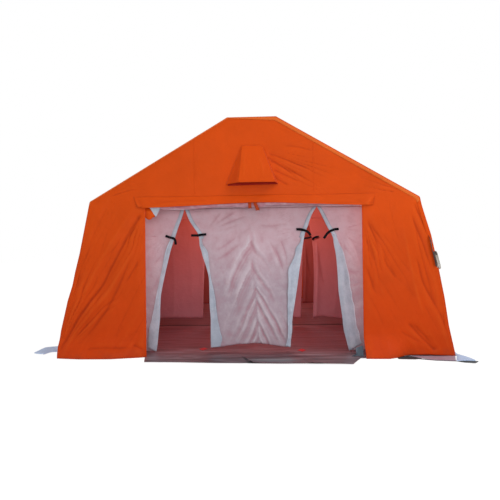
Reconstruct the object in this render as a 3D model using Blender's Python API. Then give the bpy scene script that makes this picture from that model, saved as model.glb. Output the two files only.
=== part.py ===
"""Decontamination tent: a tube frame of four hoops under an orange coated-cloth skin.

Three hanging partitions divide it into four spaces with two lanes each, and a shower
stands between the lanes in the middle. X runs across the tent, Y from the front door to
the rear, Z up. The origin is on the ground, at the middle of the tent. Lengths are metres.
"""

import math

import bmesh
import bpy
from mathutils import Matrix, Vector

# Cross-section of the skin, outside
BASE_WIDTH = 5.30
EAVE_WIDTH = 4.43
TOP_WIDTH = 0.65
EAVE_HEIGHT = 2.11
RIDGE_HEIGHT = 3.22
LENGTH = 7.50

# Cloth
SHEET = 0.004
GAP = 0.0004
SLACK = 0.002

# Doors, front and rear
DOOR_WIDTH = 2.90
DOOR_HEAD = 2.03
ROLL_RADIUS = 0.055
ROLL_HALF_LENGTH = 1.42
ROLL_CLEARANCE = 0.006
ROLL_DROP = 0.02
FLAP_HALF_WIDTH = 1.61
FLAP_TOP = 2.15
REAR_DOOR_HALF_WIDTH = 1.50
REAR_DOOR_TOP = 2.10
REAR_DOOR_HEM = 0.012

# Vent hoods in the gables
VENT_TOP = 2.83
VENT_BOTTOM = 2.31
VENT_TOP_WIDTH = 0.27
VENT_BOTTOM_WIDTH = 0.62
VENT_REACH = 0.155

# Tube frame
HOOP_COUNT = 4
HOOP_SETBACK = 0.046
TUBE_RADIUS = 0.025
TUBE_BORE = 0.022
SLEEVE_RADIUS = 0.030
SLEEVE_BORE = 0.0254
SLEEVE_LENGTH = 0.16
SLEEVE_FLOOR = 0.024
CORNER_SWELL = 1.02
TUBE_STOP = 0.03
LEG_FLOOR = 0.02
PAST = 0.05
FRAME_INSET = 0.045
PURLIN_RADIUS = 0.019
PURLIN_BORE = 0.0165
PURLIN_OVERHANG = 0.03
FOOT_PLATE = (0.085, 0.07, 0.006)
FOOT_PLATE_SHIFT = -0.0175
SIDES = 12

# Groundsheet and ground skirts
FLOOR_SHEET = 0.004
TRAY_CLEARANCE = 0.004
UPSTAND = 0.12
APRON = 0.38
APRON_HALF_WIDTH = 1.43
APRON_OVERLAP = 0.05
APRON_TAPER = 0.06
APRON_CUT_CORNER = 0.20
APRON_CUT_START = 0.03
SKIRT_WIDTH = 0.50
SKIRT_GAP = 0.001
# The skirts' free edges in X and Y at their front ends, where they are folded and turned
LEFT_SKIRT_EDGE = (
    (-2.78, -3.60), (-3.15, -3.46), (-3.15, -3.13), (-3.00, -3.07),
    (-2.85, -2.95), (-2.85, -2.70), (-3.15, -2.40),
)
RIGHT_SKIRT_EDGE = (
    (2.02, -3.765), (2.25, -3.92), (2.51, -4.03), (2.80, -4.02),
    (2.80, -3.84), (2.70, -3.62), (2.93, -3.05), (3.15, -2.50),
)

# Partitions. A doorway is a list of height and half width, from its apex down
PARTITION_PLANES = (-3.45, -1.2925, 1.2075)
PARTITION_SHIFT = (-0.04, 0.0, 0.0)
PARTITION_INSET = 0.115
CURTAIN = 0.004
HINGE_GAP = 0.0025
LANE_OFFSET = 0.93
APEX = 2.02
TIE_HEIGHT = 1.64
TIED_OPEN = ((APEX, 0.002), (TIE_HEIGHT, 0.20), (0.0, 0.405))
HANGING_SHUT = ((APEX, 0.03), (0.165, 0.115))
SIDE_HEM = (0.015, 0.165, 0.165)
CENTRE_HEM = (0.10, 0.165, 0.165)
LEAF = 0.003
LEAF_GAP = 0.001
LEAF_HEM_GAP = 0.003
LEAF_HEM_RISE = 0.04
LEAF_TOP = TIE_HEIGHT - 0.02
LEAF_TOP_WIDTH = 0.035
LEAF_WIDEST = 0.13
LEAF_WIDEST_HEIGHT = 1.10

# Shower between the two lanes
STAND_PLATE = 0.40
STAND_PLATE_THICKNESS = 0.010
COLUMN_RADIUS = 0.024
COLUMN_BORE = 0.0215
SPRAY_HEIGHT = 2.12
SPRAY_RADIUS = 0.018
SPRAY_BORE = 0.0155
SPRAY_HALF_SPAN = 0.97
VALVE_HEIGHT = 1.10
VALVE_RADIUS = 0.032
VALVE_REACH = 0.055
STEM_RADIUS = 0.009
STEM_REACH = 0.075
HUB_RADIUS = 0.018
HUB_REACH = (0.0565, 0.0725)
LEVER_LENGTH = 0.13
LEVER_HALF_WIDTH = 0.012
LEVER_REACH = (0.059, 0.070)
TURNING_GAP = 0.0004
INLET_HEIGHT = 0.28
INLET_RADIUS = 0.021
INLET_RIM_RADIUS = 0.031
INLET_REACH = 0.11
HEAD_SLEEVE_RADIUS = 0.028
HEAD_SLEEVE_LENGTH = 0.06
NECK_RADIUS = 0.012
ROSE_RADIUS = 0.075
ROSE_SHOULDER = (0.018, -0.085)
ROSE_RIM = (-0.150, -0.135)

# Spare guy rope on the right-hand wall
GUY_PLACE = -3.72
GUY_TOP = 1.62
STRAP_LENGTH = 0.22
STRAP_WIDTH = 0.03
STRAP_FACES = (0.001, 0.004)
RING_RADIUS = 0.022
RING_WIRE = 0.004
RING_DROP = 0.7
RING_OFF_WALL = 0.0055
HANK_OFF_WALL = 0.003
HANK_LENGTH = 0.26
HANK_WIDTH = 0.10
HANK_DEPTH = 0.075

HALF = LENGTH / 2


def clear_scene():
    """Removes every object that the file opened with."""
    for thing in list(bpy.data.objects):
        bpy.data.objects.remove(thing, do_unlink=True)


def finish(name, colour, roughness, metallic=0.0):
    """A Principled material."""
    material = bpy.data.materials.new(name)
    material.use_nodes = True
    shader = material.node_tree.nodes["Principled BSDF"]
    shader.inputs["Base Color"].default_value = (*colour, 1.0)
    shader.inputs["Roughness"].default_value = roughness
    shader.inputs["Metallic"].default_value = metallic
    material.diffuse_color = (*colour, 1.0)
    return material


def make_finishes():
    """The tent's materials by name."""
    return {
        "skin": finish("orange_coated_cloth", (0.64, 0.085, 0.012), 0.55),
        "curtain": finish("white_curtain_cloth", (0.52, 0.36, 0.38), 0.6),
        "leaf": finish("white_folded_cloth", (0.48, 0.53, 0.60), 0.6),
        "ground": finish("grey_groundsheet", (0.16, 0.14, 0.14), 0.5),
        "skirt": finish("pale_skirt_cloth", (0.44, 0.50, 0.64), 0.6),
        "tube": finish("aluminium_tube", (0.72, 0.73, 0.74), 0.35, 1.0),
        "steel": finish("stainless_steel", (0.62, 0.63, 0.64), 0.3, 1.0),
        "plastic": finish("dark_grey_plastic", (0.10, 0.105, 0.11), 0.5),
        "grip": finish("red_valve_lever", (0.45, 0.02, 0.015), 0.4),
        "webbing": finish("dark_webbing", (0.035, 0.022, 0.018), 0.8),
        "rope": finish("off_white_rope", (0.50, 0.46, 0.39), 0.85),
    }


def place(name, mesh, material, location=(0, 0, 0), turn=0.0):
    """A new object with the mesh, turned about Z and set at the location."""
    thing = bpy.data.objects.new(name, mesh)
    bpy.context.scene.collection.objects.link(thing)
    mesh.materials.clear()
    mesh.materials.append(material)
    thing.location = location
    thing.rotation_euler = (0.0, 0.0, turn)
    return thing


def mesh_from(form, name):
    """The mesh of a bmesh whose faces are turned outwards."""
    bmesh.ops.recalc_face_normals(form, faces=form.faces)
    mesh = bpy.data.meshes.new(name)
    form.to_mesh(mesh)
    form.free()
    return mesh


def prism(name, corners, push):
    """The mesh swept by a flat outline of 3-D corners along the push."""
    form = bmesh.new()
    face = form.faces.new([form.verts.new(corner) for corner in corners])
    swept = bmesh.ops.extrude_face_region(form, geom=[face])
    moved = [part for part in swept["geom"] if isinstance(part, bmesh.types.BMVert)]
    bmesh.ops.translate(form, verts=moved, vec=push)
    return mesh_from(form, name)


def plate(name, outline, front, thickness, material, origin=(0, 0, 0)):
    """An upright plate: an outline in X and Z, from the front plane towards +Y."""
    centre = Vector(origin)
    corners = [Vector((x, front, z)) - centre for x, z in outline]
    mesh = prism(name, corners, (0.0, thickness, 0.0))
    return place(name, mesh, material, origin)


def slab(name, outline, bottom, thickness):
    """The mesh of a level slab: an outline in X and Y, from the bottom up."""
    corners = [Vector((x, y, bottom)) for x, y in outline]
    return prism(name, corners, (0.0, 0.0, thickness))


def rod(name, start, end, radius, sides=SIDES):
    """The mesh of a round rod between two points."""
    start, end = Vector(start), Vector(end)
    axis = end - start
    form = bmesh.new()
    turn = axis.to_track_quat("Z", "Y").to_matrix().to_4x4()
    middle = Matrix.Translation((start + end) / 2)
    bmesh.ops.create_cone(
        form,
        cap_ends=True,
        segments=sides,
        radius1=radius,
        radius2=radius,
        depth=axis.length,
        matrix=middle @ turn,
    )
    return mesh_from(form, name)


def ball(name, centre, radius):
    """The mesh of a ball that closes a mitred corner."""
    form = bmesh.new()
    bmesh.ops.create_uvsphere(
        form, u_segments=SIDES, v_segments=6, radius=radius, matrix=Matrix.Translation(centre)
    )
    return mesh_from(form, name)


def turned(name, profile, steps=16):
    """The mesh of a closed outline of radius and height turned about Z."""
    form = bmesh.new()
    ring = [form.verts.new((radius, 0.0, height)) for radius, height in profile]
    edges = [form.edges.new(pair) for pair in zip(ring, ring[1:] + ring[:1])]
    bmesh.ops.spin(
        form, geom=ring + edges, cent=(0, 0, 0), axis=(0, 0, 1), angle=math.tau, steps=steps
    )
    bmesh.ops.remove_doubles(form, verts=form.verts, dist=0.00001)
    return mesh_from(form, name)


def combined(name, added, removed=()):
    """One mesh: the union of the added meshes, less the removed ones."""
    things = [place(f"{name}_{i}", mesh, TOOL) for i, mesh in enumerate((*added, *removed))]
    body = things[0]
    operations = ["UNION"] * (len(added) - 1) + ["DIFFERENCE"] * len(removed)
    for tool, operation in zip(things[1:], operations):
        cut = body.modifiers.new(operation.lower(), "BOOLEAN")
        cut.operation = operation
        cut.solver = "EXACT"
        cut.object = tool
    bpy.context.view_layer.update()
    depsgraph = bpy.context.evaluated_depsgraph_get()
    result = bpy.data.meshes.new_from_object(body.evaluated_get(depsgraph))
    result.name = name
    for thing in things:
        bpy.data.objects.remove(thing, do_unlink=True)
    return result


def smooth(mesh):
    """Round sides smooth, edges over 40 degrees sharp."""
    mesh.shade_smooth()
    mesh.set_sharp_from_angle(angle=math.radians(40))
    return mesh


def meet(first, second):
    """Where two lines in the cross-section cross, each a point and a direction."""
    (px, pz), (dx, dz) = first
    (qx, qz), (ex, ez) = second
    t = ((qx - px) * ez - (qz - pz) * ex) / (dx * ez - dz * ex)
    return (px + t * dx, pz + t * dz)


def section_lines(inset):
    """The right-hand wall, roof and top lines of the cross-section, moved inwards."""
    corners = [
        (BASE_WIDTH / 2, 0.0),
        (EAVE_WIDTH / 2, EAVE_HEIGHT),
        (TOP_WIDTH / 2, RIDGE_HEIGHT),
        (-TOP_WIDTH / 2, RIDGE_HEIGHT),
    ]
    lines = []
    for (x1, z1), (x2, z2) in zip(corners, corners[1:]):
        dx, dz = x2 - x1, z2 - z1
        size = math.hypot(dx, dz)
        inward = (-dz / size * inset, dx / size * inset)
        lines.append(((x1 + inward[0], z1 + inward[1]), (dx, dz)))
    return lines


def wall_x(inset, height):
    """The half width of the inset cross-section at a height below the eaves."""
    wall = section_lines(inset)[0]
    return meet(wall, ((0.0, height), (1.0, 0.0)))[0]


def eave_and_top(inset):
    """The right-hand eave and top corners of the inset cross-section."""
    wall, roof, top = section_lines(inset)
    return meet(wall, roof), meet(roof, top)


def mirrored(points):
    """The points followed by their mirror images, in reverse order."""
    return list(points) + [(-x, z) for x, z in reversed(points)]


def gable_outline(inset, bottom):
    """The cross-section above a height, counter-clockwise from its right-hand corner."""
    eave, top = eave_and_top(inset)
    return mirrored([(wall_x(inset, bottom), bottom), eave, top])


def make_skin():
    """Roof, side walls and end walls."""
    eave, top = eave_and_top(0.0)
    inner_eave, inner_top = eave_and_top(SHEET)
    roof = mirrored([eave, top]) + mirrored([inner_eave, inner_top])[::-1]
    plate("roof_cover", roof, -HALF, LENGTH, FINISHES["skin"])
    wall_top = EAVE_HEIGHT - GAP
    inner_wall_top = inner_eave[1] - GAP
    wall = [
        (BASE_WIDTH / 2, 0.0),
        (wall_x(0.0, wall_top), wall_top),
        (wall_x(SHEET, inner_wall_top), inner_wall_top),
        (wall_x(SHEET, 0.0), 0.0),
    ]
    for side, name in ((1, "side_wall_right"), (-1, "side_wall_left")):
        plate(name, [(side * x, z) for x, z in wall], -HALF, LENGTH, FINISHES["skin"])
    inside = SHEET + GAP
    front = -HALF + SLACK
    plate("front_gable", gable_outline(inside, DOOR_HEAD), front, SHEET, FINISHES["skin"])
    panel_top = DOOR_HEAD - GAP
    panel = [
        (DOOR_WIDTH / 2, 0.0),
        (wall_x(inside, 0.0), 0.0),
        (wall_x(inside, panel_top), panel_top),
        (DOOR_WIDTH / 2, panel_top),
    ]
    for side, name in ((1, "front_panel_right"), (-1, "front_panel_left")):
        plate(name, [(side * x, z) for x, z in panel], front, SHEET, FINISHES["skin"])
    rear = gable_outline(inside, 0.0)
    rear += [(-DOOR_WIDTH / 2, 0.0), (-DOOR_WIDTH / 2, DOOR_HEAD)]
    rear += [(DOOR_WIDTH / 2, DOOR_HEAD), (DOOR_WIDTH / 2, 0.0)]
    plate("rear_wall", rear, HALF - SLACK - SHEET, SHEET, FINISHES["skin"])


def make_doors():
    """The rolled front door, the flap over it and the hanging rear door."""
    middle = -HALF + SLACK + SHEET + ROLL_CLEARANCE + ROLL_RADIUS
    height = DOOR_HEAD + ROLL_RADIUS - ROLL_DROP
    ends = [(side * ROLL_HALF_LENGTH, middle, height) for side in (-1, 1)]
    place("front_door_roll", smooth(rod("front_door_roll", *ends, ROLL_RADIUS)), FINISHES["skin"])
    front = -HALF - SHEET - SLACK
    flap = [
        (FLAP_HALF_WIDTH, DOOR_HEAD),
        (FLAP_HALF_WIDTH, FLAP_TOP),
        (-FLAP_HALF_WIDTH, FLAP_TOP),
        (-FLAP_HALF_WIDTH, DOOR_HEAD),
    ]
    plate("door_head_flap", flap, front, SHEET, FINISHES["skin"], (0.0, front + SHEET, FLAP_TOP))
    door = [
        (REAR_DOOR_HALF_WIDTH, REAR_DOOR_HEM),
        (REAR_DOOR_HALF_WIDTH, REAR_DOOR_TOP),
        (-REAR_DOOR_HALF_WIDTH, REAR_DOOR_TOP),
        (-REAR_DOOR_HALF_WIDTH, REAR_DOOR_HEM),
    ]
    place_at = (0.0, HALF, REAR_DOOR_TOP)
    plate("rear_door", door, HALF, SHEET, FINISHES["skin"], place_at)


def make_vent_hoods():
    """A sloping flap over each gable's vent, hinged along its top edge."""
    top, bottom = VENT_TOP_WIDTH / 2, VENT_BOTTOM_WIDTH / 2
    drop = VENT_BOTTOM - VENT_TOP
    for end, name in ((-1, "vent_hood_front"), (1, "vent_hood_rear")):
        corners = [
            (top, 0.0, 0.0),
            (-top, 0.0, 0.0),
            (-bottom, end * VENT_REACH, drop),
            (bottom, end * VENT_REACH, drop),
        ]
        mesh = prism(name, corners, (0.0, end * SHEET, 0.0))
        place(name, mesh, FINISHES["skin"], (0.0, end * (HALF + SLACK), VENT_TOP))


def make_ground():
    """The groundsheet with its turned-up edges and aprons, and the ground skirts."""
    outer = SHEET + TRAY_CLEARANCE
    inner = outer + FLOOR_SHEET
    tray = [
        (wall_x(outer, 0.0), 0.0),
        (wall_x(outer, UPSTAND), UPSTAND),
        (wall_x(inner, UPSTAND), UPSTAND),
        (wall_x(inner, FLOOR_SHEET), FLOOR_SHEET),
    ]
    start = -HALF + 2 * SHEET
    length = LENGTH - 4 * SHEET
    floor = prism("tray", [Vector((x, start, z)) for x, z in mirrored(tray)], (0, length, 0))
    start = HALF - APRON_OVERLAP
    edge = HALF + APRON
    corner = APRON_HALF_WIDTH
    front = [
        (-corner, -start),
        (-corner + APRON_TAPER, -edge),
        (corner - APRON_CUT_CORNER, -edge),
        (corner, -HALF - APRON_CUT_START),
        (corner, -start),
    ]
    rear = [(-corner, start), (-corner, edge), (corner, edge), (corner, start)]
    aprons = [slab("apron", outline, GAP, FLOOR_SHEET - 2 * GAP) for outline in (front, rear)]
    place("groundsheet", combined("groundsheet", [floor, *aprons]), FINISHES["ground"])
    make_skirts()


def make_skirts():
    """The loose edges of the walls, spread on the ground beside the tent."""
    near = BASE_WIDTH / 2 + SKIRT_GAP
    far = BASE_WIDTH / 2 + SKIRT_WIDTH
    left_start = (-near, LEFT_SKIRT_EDGE[0][1])
    corner = -HALF - SKIRT_GAP
    right_start = ((near, corner), (RIGHT_SKIRT_EDGE[0][0], corner))
    left = [(-far, HALF), (-near, HALF), left_start, *LEFT_SKIRT_EDGE]
    right = [(far, HALF), (near, HALF), *right_start, *RIGHT_SKIRT_EDGE]
    for name, outline in (("skirt_left", left), ("skirt_right", right)):
        place(name, slab(name, outline, 0.0, FLOOR_SHEET), FINISHES["skirt"])


def hoop_points():
    """The foot, eave and top points of the right-hand half of a hoop's centre line."""
    eave, top = eave_and_top(FRAME_INSET)
    foot_height = FLOOR_SHEET + GAP
    foot = (wall_x(FRAME_INSET, foot_height), foot_height)
    return [Vector((x, 0.0, z)) for x, z in (foot, eave, top)]


def leg_mesh():
    """A leg tube welded to its foot plate. Its origin is under the tube, on the floor."""
    foot, eave, top = hoop_points()
    rise = (eave - foot).normalized()
    end = eave - foot - rise * TUBE_STOP
    start = rise * (FOOT_PLATE[2] / 2)
    half_x, half_y = FOOT_PLATE[0] / 2, FOOT_PLATE[1] / 2
    low, high = FOOT_PLATE_SHIFT - half_x, FOOT_PLATE_SHIFT + half_x
    outline = [(low, -half_y), (high, -half_y), (high, half_y), (low, half_y)]
    base = slab("base", outline, 0.0, FOOT_PLATE[2])
    bore_start = rise * (FOOT_PLATE[2] + LEG_FLOOR)
    below = slab("below", [(x * 2, y * 2) for x, y in outline], -PAST, PAST + GAP / 4)
    return combined(
        "leg",
        [base, rod("leg_tube", start, end, TUBE_RADIUS)],
        [rod("leg_bore", bore_start, end + rise * PAST, TUBE_BORE), below],
    )


def socketed(name, start, end, sockets, open_end):
    """A bar with a socket on each given corner, in the given direction."""
    added = [rod("bar", start, end, TUBE_RADIUS)]
    removed = []
    for corner, direction in sockets:
        added.append(ball("corner", corner, SLEEVE_RADIUS * CORNER_SWELL))
        added.append(rod("sleeve", corner, corner + direction * SLEEVE_LENGTH, SLEEVE_RADIUS))
        bore_start = corner + direction * SLEEVE_FLOOR
        bore_end = corner + direction * (SLEEVE_LENGTH + PAST)
        removed.append(rod("sleeve_bore", bore_start, bore_end, SLEEVE_BORE))
    if open_end:
        run = (end - start).normalized()
        removed.append(rod("bar_bore", start, end + run * PAST, TUBE_BORE))
    return combined(name, added, removed)


def make_frame():
    """Four hoops of two legs, two rafters and a ridge bar, with three purlins along them."""
    foot, eave, top = hoop_points()
    down_leg = (foot - eave).normalized()
    down_roof = (eave - top).normalized()
    leg = smooth(leg_mesh())
    rafter_end = top + down_roof * TUBE_STOP
    rafter = smooth(socketed("rafter", eave, rafter_end, [(eave, down_leg)], True))
    rafter.transform(Matrix.Translation(-eave))
    other_top = Vector((-top.x, top.y, top.z))
    other_down = Vector((-down_roof.x, down_roof.y, down_roof.z))
    sockets = [(top, down_roof), (other_top, other_down)]
    ridge = smooth(socketed("ridge", top, other_top, sockets, False))
    ridge.transform(Matrix.Translation((0.0, 0.0, -top.z)))
    first = -HALF + HOOP_SETBACK
    for hoop in range(HOOP_COUNT):
        number = hoop + 1
        y = first + hoop * (-2 * first) / (HOOP_COUNT - 1)
        place(f"ridge_bar_{number}", ridge.copy(), FINISHES["tube"], (0.0, y, top.z))
        for side, word, turn in ((1, "right", 0.0), (-1, "left", math.pi)):
            at_foot = (side * foot.x, y, foot.z)
            at_eave = (side * eave.x, y, eave.z)
            place(f"leg_{word}_{number}", leg.copy(), FINISHES["tube"], at_foot, turn)
            place(f"rafter_{word}_{number}", rafter.copy(), FINISHES["tube"], at_eave, turn)
    make_purlins(eave, top, first)


def make_purlins(eave, top, first):
    """Three tubes along the tent, one inside each eave corner and one under the ridge bars."""
    wall, roof, flat = section_lines(0.0)
    up_wall = Vector((wall[1][0], 0.0, wall[1][1])).normalized()
    up_roof = Vector((roof[1][0], 0.0, roof[1][1])).normalized()
    inward = (up_roof - up_wall).normalized()
    half_corner = (-up_wall).angle(up_roof) / 2
    clear = SLEEVE_RADIUS * CORNER_SWELL + PURLIN_RADIUS + GAP
    at_eave = eave + inward * (clear / math.sin(half_corner))
    below = TUBE_RADIUS + PURLIN_RADIUS + GAP
    spots = (
        ("purlin_eave_right", at_eave),
        ("purlin_eave_left", Vector((-at_eave.x, 0.0, at_eave.z))),
        ("purlin_ridge", Vector((0.0, 0.0, top.z - below))),
    )
    outer, inner, end = PURLIN_RADIUS, PURLIN_BORE, -first + PURLIN_OVERHANG
    profile = [(outer, -end), (outer, end), (inner, end), (inner, -end)]
    for name, spot in spots:
        mesh = turned(name, profile, SIDES)
        mesh.transform(Matrix.Rotation(math.radians(90), 4, "X"))
        place(name, smooth(mesh), FINISHES["tube"], spot)


def doorway_edge(shape, hem):
    """Height and half width of a doorway from its apex down to the hem."""
    points = [shape[0]]
    for (z1, w1), (z2, w2) in zip(shape, shape[1:]):
        if z2 <= hem:
            points.append((hem, w1 + (w2 - w1) * (z1 - hem) / (z1 - z2)))
            break
        points.append((z2, w2))
    return points


def curtain_outlines(index):
    """The outlines of a partition's left, centre and right curtains."""
    shape = TIED_OPEN if index == 0 else HANGING_SHUT
    shift = PARTITION_SHIFT[index]
    head = DOOR_HEAD - HINGE_GAP
    side_hem, centre_hem = SIDE_HEM[index], CENTRE_HEM[index]
    apex_half = shape[0][1]
    side_edge = doorway_edge(shape, side_hem)
    centre_edge = doorway_edge(shape, centre_hem)
    outlines = {}
    for side, word in ((-1, "left"), (1, "right")):
        lane = side * LANE_OFFSET + shift
        outer = [(side * wall_x(PARTITION_INSET, z), z) for z in (side_hem, head)]
        outlines[word] = [*outer, (lane + side * apex_half, head)]
        outlines[word] += [(lane + side * half, z) for z, half in side_edge]
    right = [(LANE_OFFSET - half, z) for z, half in centre_edge]
    right = [(LANE_OFFSET - apex_half, head), *right]
    outlines["centre"] = [(x + shift, z) for x, z in right]
    outlines["centre"] += [(shift - x, z) for x, z in reversed(right)]
    return outlines


def make_partitions():
    """Each partition: a fixed head sheet and three curtains that hang from it."""
    for index, plane in enumerate(PARTITION_PLANES):
        number = index + 1
        head = gable_outline(PARTITION_INSET, DOOR_HEAD)
        plate(f"partition_{number}_head", head, plane, CURTAIN, FINISHES["curtain"])
        for word, outline in curtain_outlines(index).items():
            name = f"partition_{number}_curtain_{word}"
            origin = (0.0, plane + CURTAIN / 2, DOOR_HEAD)
            plate(name, outline, plane, CURTAIN, FINISHES["curtain"], origin)


def fold_half(height):
    """Half the width of the tied-open doorway at a height below its ties."""
    (tie_height, tie_half), (_, foot_half) = TIED_OPEN[1:]
    return tie_half + (foot_half - tie_half) * (tie_height - height) / tie_height


def leaf_outline(lane, outward, hem):
    """A doorway's turned-back edge below its tie, outlined in X and Z."""
    heights = (LEAF_TOP, LEAF_WIDEST_HEIGHT, hem + LEAF_HEM_RISE)
    widths = (LEAF_TOP_WIDTH, LEAF_WIDEST, LEAF_WIDEST)
    inner = [(lane + outward * (fold_half(z) + LEAF_GAP), z) for z in (LEAF_TOP, hem)]
    outer = [(lane + outward * (fold_half(z) + LEAF_GAP + w), z) for z, w in zip(heights, widths)]
    return [inner[0], inner[1], *reversed(outer)]


def make_leaves():
    """The four turned-back edges of the first partition, each on its fold line."""
    plane = PARTITION_PLANES[0]
    front = plane - LEAF - SLACK
    for side, lane_word in ((-1, "left"), (1, "right")):
        lane = side * LANE_OFFSET + PARTITION_SHIFT[0]
        for outward, edge_word in ((side, "outer"), (-side, "inner")):
            hem = (SIDE_HEM[0] if edge_word == "outer" else CENTRE_HEM[0]) + LEAF_HEM_GAP
            outline = leaf_outline(lane, outward, hem)
            fold_x = lane + outward * fold_half(LEAF_TOP)
            origin = (fold_x, plane - SLACK / 2, LEAF_TOP)
            name = f"leaf_{lane_word}_{edge_word}"
            plate(name, outline, front, LEAF, FINISHES["leaf"], origin)


def turning_bore(radius):
    """The radius of a faceted bore that clears a round bar at every angle."""
    return radius / math.cos(math.pi / SIDES) + TURNING_GAP


def make_shower_stand():
    """Foot plate, column, cross pipe, valve and inlet, bored through as pipes are."""
    floor = FLOOR_SHEET + GAP
    half = STAND_PLATE / 2
    square = [(-half, -half), (half, -half), (half, half), (-half, half)]
    foot_top = floor + STAND_PLATE_THICKNESS / 2
    left, right = [(side * SPRAY_HALF_SPAN, 0, SPRAY_HEIGHT) for side in (-1, 1)]
    past_left, past_right = [(side * (SPRAY_HALF_SPAN + PAST), 0, SPRAY_HEIGHT) for side in (-1, 1)]
    valve, inlet = (0, 0, VALVE_HEIGHT), (0, 0, INLET_HEIGHT)
    rim = [(0, -reach, INLET_HEIGHT) for reach in (0.68 * INLET_REACH, 0.95 * INLET_REACH)]
    stand = combined(
        "shower_stand",
        [
            slab("foot", square, floor, STAND_PLATE_THICKNESS),
            rod("column", (0, 0, foot_top), (0, 0, SPRAY_HEIGHT), COLUMN_RADIUS, 16),
            rod("cross", left, right, SPRAY_RADIUS),
            rod("valve", valve, (0, -VALVE_REACH, VALVE_HEIGHT), VALVE_RADIUS, 16),
            rod("stem", valve, (0, -STEM_REACH, VALVE_HEIGHT), STEM_RADIUS),
            rod("inlet", inlet, (0, -INLET_REACH, INLET_HEIGHT), INLET_RADIUS, 16),
            rod("inlet_rim", *rim, INLET_RIM_RADIUS, 16),
        ],
        [
            rod("column_bore", (0, 0, -PAST), (0, 0, SPRAY_HEIGHT), COLUMN_BORE, 16),
            rod("cross_bore", past_left, past_right, SPRAY_BORE),
        ],
    )
    place("shower_stand", smooth(stand), FINISHES["steel"])


def make_valve_lever():
    """The lever that turns the valve: a hub on the stem and an arm hanging from it."""
    back, front = (-reach for reach in HUB_REACH)
    inner, outer = (-reach for reach in LEVER_REACH)
    wide = LEVER_HALF_WIDTH
    arm = [(-wide, outer), (wide, outer), (wide, inner), (-wide, inner)]
    bore_ends = (0, -VALVE_REACH, 0), (0, -STEM_REACH - PAST, 0)
    lever = combined(
        "shower_valve_lever",
        [
            rod("hub", (0, back, 0), (0, front, 0), HUB_RADIUS, 16),
            slab("arm", arm, -LEVER_LENGTH, LEVER_LENGTH),
        ],
        [rod("hub_bore", *bore_ends, turning_bore(STEM_RADIUS))],
    )
    place("shower_valve_lever", smooth(lever), FINISHES["grip"], (0, 0, VALVE_HEIGHT))


def make_shower_heads():
    """A rose on a neck under a sleeve that turns on the cross pipe, one for each lane."""
    reach = HEAD_SLEEVE_LENGTH / 2
    rim = [(ROSE_RADIUS, height) for height in ROSE_RIM]
    rose = turned("rose", [(0.0, ROSE_RIM[0]), *rim, ROSE_SHOULDER, (0.0, ROSE_SHOULDER[1])])
    neck_top = -(SPRAY_RADIUS + HEAD_SLEEVE_RADIUS) / 2
    neck_bottom = (ROSE_SHOULDER[1] + ROSE_RIM[1]) / 2
    head = combined(
        "shower_head",
        [
            rod("head_sleeve", (-reach, 0, 0), (reach, 0, 0), HEAD_SLEEVE_RADIUS, 16),
            rod("neck", (0, 0, neck_top), (0, 0, neck_bottom), NECK_RADIUS),
            rose,
        ],
        [rod("head_bore", (-reach - PAST, 0, 0), (reach + PAST, 0, 0), turning_bore(SPRAY_RADIUS))],
    )
    smooth(head)
    for side, word in ((-1, "left"), (1, "right")):
        spot = (side * LANE_OFFSET, 0.0, SPRAY_HEIGHT)
        place(f"shower_head_{word}", head.copy(), FINISHES["plastic"], spot)


def on_wall(height, out):
    """The X of a point outside the right-hand wall, at a distance from its face."""
    return wall_x(-out, height)


def make_guy_rope():
    """A webbing strap with a ring on the right-hand wall, and the rope hank hung from it."""
    low = GUY_TOP - STRAP_LENGTH
    edge = GUY_PLACE - STRAP_WIDTH / 2
    inner, outer = STRAP_FACES
    section = ((low, inner), (GUY_TOP, inner), (GUY_TOP, outer), (low, outer))
    corners = [Vector((on_wall(height, out), edge, height)) for height, out in section]
    strap = prism("strap", corners, (0.0, STRAP_WIDTH, 0.0))
    ring_height = low - RING_RADIUS * RING_DROP
    wire_angles = (math.tau * step / 8 for step in range(8))
    round_wire = [
        (RING_RADIUS + RING_WIRE * math.cos(a), RING_WIRE * math.sin(a)) for a in wire_angles
    ]
    ring = turned("ring", round_wire)
    lean = math.atan2(wall_x(0, 0) - wall_x(0, 1), 1.0)
    ring.transform(Matrix.Rotation(math.radians(90) - lean, 4, "Y"))
    ring_centre = (on_wall(ring_height, RING_OFF_WALL), GUY_PLACE, ring_height)
    ring.transform(Matrix.Translation(ring_centre))
    place("guy_strap", smooth(combined("guy_strap", [strap, ring])), FINISHES["webbing"])
    make_hank(ring_height - RING_RADIUS - RING_WIRE - GAP)


def make_hank(top):
    """The coiled guy rope's outer shape: an outline with round ends, along the wall."""
    radius = HANK_WIDTH / 2
    middles = (top - radius - GAP, top - HANK_LENGTH + radius)
    outline = []
    for middle, begin in zip(middles, (0.0, math.pi)):
        for step in range(9):
            angle = begin + math.pi * step / 8
            outline.append((radius * math.cos(angle), middle + radius * math.sin(angle)))
    corners = [Vector((on_wall(z, HANK_OFF_WALL), GUY_PLACE + y, z)) for y, z in outline]
    place("guy_hank", prism("guy_hank", corners, (HANK_DEPTH, 0.0, 0.0)), FINISHES["rope"])


clear_scene()
TOOL = bpy.data.materials.new("tool")
FINISHES = make_finishes()
make_skin()
make_doors()
make_vent_hoods()
make_ground()
make_frame()
make_partitions()
make_leaves()
make_shower_stand()
make_valve_lever()
make_shower_heads()
make_guy_rope()
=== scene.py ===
"""Looks of the decontamination tent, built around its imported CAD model.

Lengths are metres in the model's own frame: X to the right, Y from the front door to the
rear, Z up. Cloth is a sheet whose points are worked out on a grid of two parameters, with
its creases added as ridges along drawn lines, and then given its thickness.
"""
import logging
import math
from dataclasses import dataclass
from enum import Enum
from typing import Any, Callable, Sequence

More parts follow.
